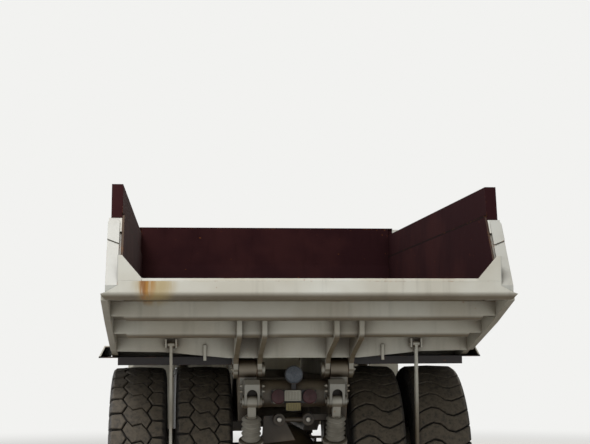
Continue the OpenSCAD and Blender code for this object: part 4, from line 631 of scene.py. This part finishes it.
def tread_block(bm, outline):
    """One rubber block from its outline of (across, along), with a bevelled rim."""
    outline = finer(outline)
    n = len(outline)
    cx, cy = sum(a for a, s in outline) / n, sum(s for a, s in outline) / n
    rings = []
    for depth, inset in BLOCK_SIDE:
        ring = []
        for a, s in outline:
            k = 1 - inset / math.hypot(a - cx, s - cy)
            ring.append(bm.verts.new(on_tread(cx + (a - cx) * k, cy + (s - cy) * k, depth)))
        rings.append(ring)
    bridge(bm, rings)
    middle = bm.verts.new(on_tread(cx, cy, 0.0))
    for i in range(n):
        bm.faces.new((rings[-1][i], rings[-1][(i + 1) % n], middle))


# Middle line of a wavy groove: place across the tread and place along it
WAVE = [(-REACH, 0.034), (-0.235, 0.030), (-0.165, -0.014), (-0.095, -0.044), (-0.035, -0.030),
        (0.035, 0.030), (0.095, 0.044), (0.165, 0.014), (0.235, -0.030), (REACH, -0.034)]


def wave_blocks():
    """One pitch of the wavy bars: a grid of points over the bar, with bevelled rims down to the casing."""
    bm = bmesh.new()
    line = sorted(WAVE + [((a0 + a1) / 2, (s0 + s1) / 2) for (a0, s0), (a1, s1) in zip(WAVE, WAVE[1:])])
    last_i, last_j = len(line) - 1, 3
    rim = ([(i, 0) for i in range(last_i)] + [(last_i, j) for j in range(last_j)]
           + [(i, last_j) for i in range(last_i, 0, -1)] + [(0, j) for j in range(last_j, 0, -1)])

    def point(i, j, depth, inset):
        a, s = line[i]
        a = max(line[0][0] + inset, min(line[-1][0] - inset, a))
        low, high = s + WAVE_GROOVE / 2 + inset, s + PITCH - WAVE_GROOVE / 2 - inset
        return bm.verts.new(on_tread(a, low + (high - low) * j / last_j, depth))

    rings = [[point(i, j, depth, inset) for i, j in rim] for depth, inset in BLOCK_SIDE]
    bridge(bm, rings)
    top = dict(zip(rim, rings[-1]))
    for i in range(1, last_i):
        for j in range(1, last_j):
            top[i, j] = point(i, j, 0.0, BEVEL)
    for i in range(last_i):
        for j in range(last_j):
            bm.faces.new((top[i, j], top[i + 1, j], top[i + 1, j + 1], top[i, j + 1]))
    return bm


def stone_blocks():
    """One pitch of the block tread: a waved block in the middle, and a five-cornered one on each shoulder
    that reaches between two of the middle's."""
    bm = bmesh.new()
    length = PITCH - STONE_GROOVE
    # The middle block: half width, half the run of its toothed ends, and where its left and right ends start
    half_wide, tooth, left, right = 0.100, 0.020, 0.036, -0.036
    near = [(tooth - half_wide, left), (-0.040, -0.010), (0.040, 0.010), (half_wide - tooth, right)]
    far = [(a, s + length) for a, s in reversed(near)]
    tread_block(bm, near + [(half_wide + tooth, right + length / 2)]
                + far + [(-half_wide - tooth, left + length / 2)])
    for side, start in ((-1, left), (1, right)):
        middle, inner, taper = start - STONE_GROOVE / 2, half_wide + STONE_GROOVE, 0.014
        low, high = middle - length / 2, middle + length / 2
        ring = [(REACH, low + taper), (inner + tooth, low), (inner - tooth, middle), (inner + tooth, high),
                (REACH, high - taper)]
        tread_block(bm, [(side * a, s) for a, s in ring[::side]])
    return bm


def casing():
    """The tyre's casing, with a bead, flank ribs and the floor of the tread."""
    # Half width and height above the rim, then half width and depth below the tread
    half = [(x, RIM_R + up) for x, up in (
        (0.165, 0.001), (0.166, 0.036), (0.186, 0.048), (0.214, 0.075), (0.230, 0.105), (0.234, 0.112),
        (0.232, 0.119), (0.243, 0.165), (0.2485, 0.22), (0.2495, 0.228), (0.2485, 0.236), (0.247, 0.29))]
    half += [(x, TYRE_R - down) for x, down in (
        (0.243, 0.15), (0.2455, 0.143), (0.243, 0.136), (0.236, 0.10), (0.222, 0.070),
        (0.195, LUG_DEPTH + 0.010), (0.10, LUG_DEPTH + 0.001))]
    return revolved(half + [(0.0, TYRE_R - LUG_DEPTH)] + [(-x, r) for x, r in reversed(half)], 96)


TYRES = [
    # node, body, tread, centres across, axle
    ("front_tyre_l", "wheel_fl", wave_blocks, [-FRONT_WHEEL_X], FRONT_AXLE_Y),
    ("front_tyre_r", "wheel_fr", wave_blocks, [FRONT_WHEEL_X], FRONT_AXLE_Y),
    ("rear_tyres_l", "wheels_rl", stone_blocks, [-TWIN_X - TWIN_STEP, -TWIN_X + TWIN_STEP], REAR_AXLE_Y),
    ("rear_tyres_r", "wheels_rr", wave_blocks, [TWIN_X - TWIN_STEP, TWIN_X + TWIN_STEP], REAR_AXLE_Y),
]
for node_name, body, blocks, centres, axle_y in TYRES:
    treads, casings = [], []
    for number, x in enumerate(centres):
        pattern = outward(mirrored(blocks()) if x < 0 else blocks())
        # Each tyre of a pair stands at its own angle
        treads.append(copies(pattern, PITCHES, dusty_tyre, (x, axle_y, WHEEL_Z), angle=0.04 + 0.05 * number,
                             spread=math.tau))
        casings.append(moved(casing(), (x, axle_y, WHEEL_Z)))
    made = piece(node_name + "_dressed", gathered(*treads, *casings), body, dusty_tyre)
    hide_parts(node_name)

# ------------------------ fittings

DIRECTIONS = {"+X": Matrix.Identity(3), "-X": Matrix.Rotation(math.pi, 3, "Z"),
              "+Y": Matrix.Rotation(math.pi / 2, 3, "Z"), "-Y": Matrix.Rotation(-math.pi / 2, 3, "Z"),
              "+Z": Matrix.Rotation(-math.pi / 2, 3, "Y"), "-Z": Matrix.Rotation(math.pi / 2, 3, "Y")}


def facing(bm, way):
    """Turns what was made along +X so that it looks the given way."""
    return rotated(bm, DIRECTIONS[way])


def bolt(size):
    """A bolt head of a width across flats, on a washer, with the bolt's chamfered end: along +X from 0."""
    corner = 0.5 / math.cos(math.pi / 6)
    # Profiles of (along, radius) in widths across flats, and the steps round
    head = [(0.12, 0), (0.12, corner), (0.62, corner), (0.72, corner * 0.86), (0.72, 0)], 6
    washer = [(-0.02, 0), (-0.02, 0.78), (0.10, 0.78), (0.14, 0.72), (0.14, 0)], 20
    stud = [(0.7, 0), (0.7, 0.30), (0.92, 0.30), (1.0, 0.24), (1.0, 0)], 12
    return gathered(*(turned([(x * size, r * size) for x, r in profile], steps)
                      for profile, steps in (head, washer, stud)))


def bolt_rows(name, body, rows):
    """Bolts in straight rows: way they face, width across flats, first place, step and number."""
    meshes = [copies(facing(bolt(size), way), count, zinc, first, gap)
              for way, size, first, gap, count in rows]
    piece(name, gathered(*meshes), body, zinc)


def both_sides(rows):
    """The rows of bolts and their mirror images over the middle of the truck."""
    swap = {"+X": "-X", "-X": "+X"}
    return rows + [(swap.get(way, way), size, (-x, y, z), (-gap[0], *gap[1:]), count)
                   for way, size, (x, y, z), gap, count in rows]


def rear_fastenings():
    """What holds a rear hub, with its numbers: rim clamps with their nuts, and the cover's bolts."""
    wedge = plate([(-0.026, 0.212), (0.026, 0.212), (0.030, 0.294), (0.018, 0.304), (-0.018, 0.304),
                   (-0.030, 0.294)], 0.022, 0.046, 0.004)
    clamp = gathered(wedge, moved(bolt(0.034), (0.045, 0, 0.246)))
    return [(clamp, 18), (moved(bolt(0.024), (0.140, 0, 0.128)), 12)]


def front_fastenings():
    """What holds a front wheel, with its numbers: the disc's nuts, and the hub cap's bolts."""
    return [(moved(bolt(0.036), (0.027, 0, 0.197)), 10), (moved(bolt(0.022), (0.150, 0, 0.096)), 8)]


WHEEL_FASTENINGS = [
    # body, centre across and along, fastenings
    ("wheels_rl", -TWIN_X - TWIN_STEP, REAR_AXLE_Y, rear_fastenings),
    ("wheels_rr", TWIN_X + TWIN_STEP, REAR_AXLE_Y, rear_fastenings),
    ("wheel_fl", -FRONT_WHEEL_X, FRONT_AXLE_Y, front_fastenings),
    ("wheel_fr", FRONT_WHEEL_X, FRONT_AXLE_Y, front_fastenings),
]
for body, x, y, fastenings in WHEEL_FASTENINGS:
    meshes = []
    for pattern, count in fastenings():
        if x < 0:
            bmesh.ops.reverse_faces(mirrored(pattern), faces=pattern.faces)
        meshes.append(copies(pattern, count, zinc, (x, y, WHEEL_Z), angle=0.1, spread=math.tau))
    piece("fastenings_" + body, gathered(*meshes), body, zinc)


def lenses(name, material, way, places, radius, dome, ring_n):
    """Lenses that look one way, each with a raised rim and rings pressed into its dome."""
    profile = [(-0.004, 0), (-0.004, radius), (0.010, radius), (0.013, radius * 0.97), (0.011, radius * 0.91)]
    pressed = radius * 0.88
    for i in range(ring_n, 0, -1):
        r = pressed * i / ring_n
        rise = dome * (1 - (r / radius) ** 2)
        profile += [(0.008 + rise, r), (0.0105 + rise, r - pressed / ring_n * 0.35)]
    profile.append((0.010 + dome, 0))
    made = [moved(facing(turned(profile, 48), way), place) for place in places]
    piece(name, gathered(*made), "chassis", material)


# Two reflectors and a work lamp on the cross tube
REFLECTORS = [(x, TUBE_REAR_Y - 0.040, 1.393) for x in (-0.133, 0.133)]
lenses("tail_reflectors", red_lens, "-Y", REFLECTORS, 0.0615, 0.010, 6)
lenses("work_lamp_lens", grey_lens, "-Y", [(0, TUBE_REAR_Y - 0.030, 1.576)], 0.070, 0.016, 7)


def lamp_lid(name, material, x0, x1, z0, z1, y, ridge_n):
    """A lamp box's lid: a bevelled frame with upright ridges inside it, looking back."""
    rim, face_y = 0.007, y + 0.001
    middle, half = (x0 + x1) / 2, (x1 - x0) / 2 - rim
    bars = ((x0, x1, z1 - rim, z1), (x0, x1, z0, z0 + rim), (x0, x0 + rim, z0, z1), (x1 - rim, x1, z0, z1))
    parts = [box(a0, a1, y - 0.009, face_y, b0, b1, 0.0015) for a0, a1, b0, b1 in bars]
    for i in range(ridge_n):
        x, half_ridge = middle + (i + 0.5 - ridge_n / 2) * 2 * half / ridge_n, half / ridge_n * 0.8
        parts.append(box(x - half_ridge, x + half_ridge, y - 0.005, face_y, z0 + rim, z1 - rim, 0.001))
    piece(name, gathered(*parts), "chassis", material)


lamp_lid("plate_lamp_lid", lamp_box, -0.083, 0.057, 1.357, 1.446, TUBE_REAR_Y - 0.062, 10)
lamp_lid("marker_lamp_lid", amber_box, -0.070, 0.054, 1.277, 1.341, TUBE_REAR_Y - 0.052, 8)

# Polished caps on the lateral rod's ball ends, from a profile of (along, radius)
CAP = [(-0.002, 0), (-0.002, 0.024), (0.004, 0.024), (0.009, 0.019), (0.011, 0.010), (0.012, 0)]
caps = [moved(facing(turned(CAP, 32), "-Y"), (x, TAIL_Y + 1.762, 1.185)) for x in (-0.104, 0.150)]
piece("ball_end_caps", gathered(*caps), "chassis", ground_steel)

# Head lamps in their rims
HEADLAMPS = [(x, HEADLAMP_Y, HEADLAMP_Z) for x in (-0.62, -0.86, 0.62, 0.86)]
lenses("headlamp_lenses", clear_lens, "+Y", HEADLAMPS, 0.072, 0.008, 4)

# Mirrors: silvered glass that looks back out of its rim
for name, x0, x1 in (("l", -1.588, -1.452), ("r", 1.452, 1.588)):
    glass = box(x0, x1, MIRROR_Y, MIRROR_Y + 0.004, 2.50, 2.84, 0.0012)
    piece("mirror_glass_" + name, glass, "chassis", silvered)

bolt_rows("frame_bolts", "chassis", both_sides([
    ("+X", 0.024, (0.4445, CLEVIS_Y, CLEVIS_Z), (0, 0, 0.045), 2),  # clevis keepers, outer cheek
    ("-X", 0.024, (0.2755, CLEVIS_Y, CLEVIS_Z), (0, 0, 0.045), 2),  # and inner cheek
    ("+Y", 0.030, (0.62, BUMPER_Y, 0.98), (0, 0, 0.12), 2),  # bumper on the frame's ends
    ("-Y", 0.024, (0.16, TUBE_REAR_Y - 0.012, 1.352), (0, 0, 0.082), 2),  # lamp bracket on the cross tube
    ("+Z", 0.024, (0.53, 1.26, DECK_Z), (0.16, 0, 0), 7),  # decks, rear edge
    ("+Z", 0.024, (0.53, 3.49, DECK_Z), (0.16, 0, 0), 7),  # front edge
    ("+X", 0.020, (1.550, 1.30, 1.715), (0, 0.31, 0), 8),  # and outer side
]))
bolt_rows("hinge_bolts", "dump_body", both_sides([
    ("+X", 0.026, (0.5125, HINGE_Y - 0.035, HINGE_Z), (0, 0.07, 0), 2),  # hinge pins' keepers
    ("-Y", 0.022, (1.02, TAIL_Y + 1.449, 1.80), (0, 0, 0.060), 2),  # rock ejectors' brackets
]))

# Weld seams that close the front wall's ends against the linings, above the wall's bend
SEAM_LINE = [(4.722, 2.755), (4.797, 3.160)]  # ends of a seam: forward of the tail edge, and up
SEAM_THICK, SEAM_ROOT = 0.013, HALF_LOAD - 0.0005
outline = ([(TAIL_Y + ahead, z) for ahead, z in SEAM_LINE]
           + [(TAIL_Y + ahead + SEAM_THICK, z) for ahead, z in reversed(SEAM_LINE)])
seams = [plate(outline, x0, x1, 0.002) for x0, x1 in ((SEAM_ROOT, LINING_BACK), (-LINING_BACK, -SEAM_ROOT))]
piece("wall_end_seams", gathered(*seams), "dump_body", red_oxide)

# Non-slip plate on the right deck: lens-shaped bars, raised 2.8 mm, in crossed rows
TREAD_STEP, TREAD_ROWS, TREADS_ACROSS = 0.046, 48, 19
TREAD_X, TREAD_Y = 0.59, 1.27  # the first bar


def deck_tread(turn):
    """One raised bar of the non-slip plate, 32 mm long, at 45 degrees and a further turn."""
    bm = bmesh.new()
    outline = [(0.016 * math.cos(a), 0.005 * math.sin(a)) for a in round_angles(8)]
    low = [bm.verts.new((a, b, -0.001)) for a, b in outline]
    high = [bm.verts.new((a * 0.82, b * 0.55, 0.0028)) for a, b in outline]
    bm.faces.new(low[::-1])
    bm.faces.new(high)
    bridge(bm, [low, high])
    return rotated(rotated(bm, Matrix.Rotation(math.pi / 4, 3, "Z")), Matrix.Rotation(turn, 3, "Z"))


rows = []
for i in range(TREAD_ROWS):
    for turn, offset in ((0, 0.0), (math.pi / 2, TREAD_STEP / 2)):
        start = (TREAD_X + offset, TREAD_Y + TREAD_STEP * i + offset, DECK_Z)
        rows.append(copies(deck_tread(turn), TREADS_ACROSS, cab_cream, start, (TREAD_STEP, 0, 0)))
piece("deck_tread_r", gathered(*rows), "chassis", cab_cream)


def strap(x0, x1, z0, z1, y, corner=0.09, thick=0.006, wide=0.05):
    """A steel band round a tank with rounded corners."""
    bm = bmesh.new()
    outline = []
    for cx, cz, quarter in ((x1 - corner, z1 - corner, 0), (x0 + corner, z1 - corner, 1),
                            (x0 + corner, z0 + corner, 2), (x1 - corner, z0 + corner, 3)):
        for k in range(7):
            a = math.pi / 2 * (quarter + k / 6)
            outline.append((cx, cz, math.cos(a), math.sin(a)))
    rings = [[bm.verts.new((cx + nx * radius, at_y, cz + nz * radius)) for cx, cz, nx, nz in outline]
             for radius, at_y in ((corner - 0.002, y), (corner + thick, y), (corner + thick, y + wide),
                                  (corner - 0.002, y + wide))]
    bridge(bm, rings, closed=True)
    return outward(bm)


# Fuel and hydraulic tank: limits across and up
TANKS = [(0.640, 1.460, 0.640, 1.340), (-1.460, -0.640, 0.760, 1.695)]
straps = [strap(*tank, TANK_Y + along) for tank in TANKS for along in (0.155, 0.555)]
piece("tank_straps", gathered(*straps), "chassis", dark_enamel)

# Radiator core: thin upright fins behind the grille's bars, 10 mm apart
fin = box(-0.0012, 0.0012, 3.375, 3.435, 1.20, 2.32)
fins = copies(fin, 72, dark_enamel, (-0.355, 0, 0), (0.01, 0, 0))
piece("radiator_fins", gathered(fins), "chassis", dark_enamel)

# ------------------------ driver's seat

CUSHION_BEVEL, CUSHION_VOXEL, CUSHION_SWELL = 0.014, 0.010, 0.014
AIR_PRESSURE, CLOTH_FRAMES = 4.0, 20
WELT_R, WELT_CORNER = 0.005, 0.045


def seat_plate(half_wide, outline, bevel):
    """A plate across the seat from its outline of (y, z), measured from the seat's foot."""
    outline = [(SEAT_Y + y, SEAT_Z + z) for y, z in outline]
    return plate(outline, SEAT_X - half_wide, SEAT_X + half_wide, bevel)


def seat_box(half_wide, y0, y1, z0, z1, bevel):
    """A box across the seat."""
    return seat_plate(half_wide, [(y0, z0), (y1, z0), (y1, z1), (y0, z1)], bevel)


def puffed(bm):
    """The cushions remeshed, then swelled by cloth with air pressure in it, no point moving more than
    the swell allowed."""
    holder = in_scene("holder", to_mesh(bm))
    remesh = holder.modifiers.new("even", "REMESH")
    remesh.mode, remesh.voxel_size = "VOXEL", CUSHION_VOXEL
    even = evaluated(holder)
    holder.modifiers.clear()
    holder.data = made = even
    cloth = holder.modifiers.new("cloth", "CLOTH")
    cloth.settings.use_pressure = True
    cloth.settings.uniform_pressure_force = AIR_PRESSURE
    cloth.settings.effector_weights.gravity = 0.0
    for number in range(1, CLOTH_FRAMES + 1):
        scene.frame_set(number)
    made = evaluated(holder)
    scene.frame_set(1)
    for vertex, start in zip(made.vertices, even.vertices):
        move = vertex.co - start.co
        if move.length > CUSHION_SWELL:
            vertex.co = start.co + move * (CUSHION_SWELL / move.length)
    bpy.data.objects.remove(holder)
    for face in made.polygons:
        face.use_smooth = True
    return made


def welt(half_wide, low, high):
    """A closed welt of round section over a cushion from a low to a high (y, z), its corners rounded."""
    corners = [Vector((SEAT_X + side * half_wide, SEAT_Y + y, SEAT_Z + z))
               for side, (y, z) in ((-1, low), (1, low), (1, high), (-1, high))]
    path = []
    for before, corner, after in zip(corners[-1:] + corners[:-1], corners, corners[1:] + corners[:1]):
        start = corner + (before - corner).normalized() * WELT_CORNER
        end = corner + (after - corner).normalized() * WELT_CORNER
        path += [start * (1 - t) ** 2 + corner * 2 * t * (1 - t) + end * t * t
                 for t in (0.0, 0.25, 0.5, 0.75, 1.0)]
    bm = bmesh.new()
    rings = []
    for i in range(len(path)):
        along = (path[(i + 1) % len(path)] - path[i - 1]).normalized()
        side = along.cross(Vector((0, 0.35, 0.94))).normalized()
        over = side.cross(along)
        rings.append([bm.verts.new(path[i] + (side * math.cos(q) + over * math.sin(q)) * WELT_R)
                      for q in round_angles(8)])
    bridge(bm, rings, closed=True, smooth=True)
    return outward(bm)


# Two foam blocks under vinyl, a pan and a back, with welts sewn round their faces
pan = seat_plate(0.228, [(-0.17, 0.205), (0.255, 0.205), (0.272, 0.235), (0.255, 0.290), (0.12, 0.292),
                         (-0.12, 0.280), (-0.19, 0.285)], CUSHION_BEVEL)
back = seat_plate(0.222, [(-0.200, 0.300), (-0.140, 0.306), (-0.158, 0.43), (-0.192, 0.60), (-0.215, 0.765),
                          (-0.248, 0.785), (-0.268, 0.762), (-0.240, 0.55)], CUSHION_BEVEL)
cushions = piece("seat_cushions", gathered(puffed(gathered(pan, back))), "chassis", seat_cloth)
smoother = cushions.modifiers.new("smoother", "SUBSURF")
smoother.levels = smoother.render_levels = 1
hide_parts("driver_seat")
welts = [welt(0.215, (-0.10, 0.298), (0.248, 0.300)), welt(0.208, (-0.131, 0.34), (-0.199, 0.75))]
piece("seat_welts", gathered(*welts), "chassis", black_plastic)

# Its sprung base: a foot, six folds of a bellows and a shelf
FOOT_H, FOLD_H, FOLD_IN = 0.030, 0.013, 0.016
folds = []
for i in range(12):
    inset = FOLD_IN * (i % 2)
    z = FOOT_H + FOLD_H * i
    folds.append(seat_box(0.165 - inset, inset - 0.125, 0.165 - inset, z, z + FOLD_H, 0.003))
foot = seat_box(0.17, -0.13, 0.17, 0.0, FOOT_H, 0.004)
shelf = seat_box(0.22, -0.18, 0.25, 0.186, 0.204, 0.004)
piece("seat_base", gathered(foot, shelf, *folds), "chassis", black_plastic)

# ------------------------ camera and light

# The camera solved from the picture: turn, tilt and roll, place, focal length and width in picture points
YAW, PITCH_UP, ROLL = math.radians(5.42), math.radians(6.26), math.radians(-0.28)
CAMERA_PLACE, FOCAL, PICTURE_W, SENSOR = (-0.96, TAIL_Y - 8.79, 1.75), 1205, 590, 36
forward = Vector((math.sin(YAW) * math.cos(PITCH_UP), math.cos(YAW) * math.cos(PITCH_UP), math.sin(PITCH_UP)))
right = Vector((math.cos(YAW), -math.sin(YAW), 0))
up = right.cross(forward)
image_x = right * math.cos(ROLL) + up * math.sin(ROLL)
image_y = up * math.cos(ROLL) - right * math.sin(ROLL)
camera = in_scene("camera", bpy.data.cameras.new("camera"))
camera.data.sensor_fit = "HORIZONTAL"
camera.data.sensor_width = SENSOR
camera.data.lens = SENSOR * FOCAL / PICTURE_W
camera.data.clip_end = 200
turn = Matrix((image_x, image_y, -forward)).transposed().to_4x4()
camera.matrix_world = Matrix.Translation(CAMERA_PLACE) @ turn
scene.camera = camera

# A floor of matt paper that fades into the backdrop between these distances from the truck's middle
FADE_FROM, FADE_TO = 6.5, 17.0
sheet = bmesh.new()
bmesh.ops.create_grid(sheet, x_segments=1, y_segments=1, size=60)
floor = in_scene("floor", to_mesh(sheet, "floor"))
paper = Surface("pale_studio_paper")
floor.data.materials.append(paper.finish(PAPER, 0.9))
far = paper.add("ShaderNodeVectorMath", {0: paper.place}, operation="LENGTH").outputs["Value"]
glow = paper.add("ShaderNodeEmission", {"Color": BACKDROP, "Strength": 1.0}).outputs[0]
shares = {0: paper.step(far, FADE_FROM, FADE_TO), 1: paper.shader.outputs[0], 2: glow}
fade = paper.add("ShaderNodeMixShader", shares).outputs[0]
wire(paper.tree, paper.tree.nodes["Material Output"], {0: fade})

# A dim sky for light, and the pale backdrop for what the camera, reflections and glass see
world = bpy.data.worlds.new("studio")
scene.world = world
world.use_nodes = True
tree = world.node_tree
tree.nodes.clear()
rays = add(tree, "ShaderNodeLightPath").outputs
seen = calc(tree, "MAXIMUM", calc(tree, "MAXIMUM", rays["Is Camera Ray"], rays["Is Glossy Ray"]),
            rays["Is Transmission Ray"])
lit = add(tree, "ShaderNodeBackground", {"Color": SKY, "Strength": 0.30}).outputs[0]
shown = add(tree, "ShaderNodeBackground", {"Color": BACKDROP, "Strength": 1.0}).outputs[0]
blend = add(tree, "ShaderNodeMixShader", {0: seen, 1: lit, 2: shown}).outputs[0]
add(tree, "ShaderNodeOutputWorld", {0: blend})


def softbox(name, place, aim, size, watts, colour):
    """A rectangular studio lamp, aimed at a point."""
    lamp = bpy.data.lights.new(name, "AREA")
    lamp.shape, (lamp.size, lamp.size_y) = "RECTANGLE", size
    lamp.energy, lamp.color = watts, linear(colour)[:3]
    obj = in_scene(name, lamp)
    obj.location = place
    obj.rotation_euler = (Vector(aim) - Vector(place)).to_track_quat("-Z", "Y").to_euler()


softbox("sky_over_tail", (-3.0, -8.0, 9.5), (0, -2.5, 1.6), (7, 5), 1050, "#f4f7ff")
softbox("front_fill", (6.0, 9.0, 7.0), (0, 1.0, 1.5), (8, 6), 700, "#fff6ea")
softbox("left_fill", (-9.0, 1.0, 5.0), (0, 0.0, 1.5), (7, 5), 350, "#f6f8ff")
scene.view_settings.view_transform = "Standard"
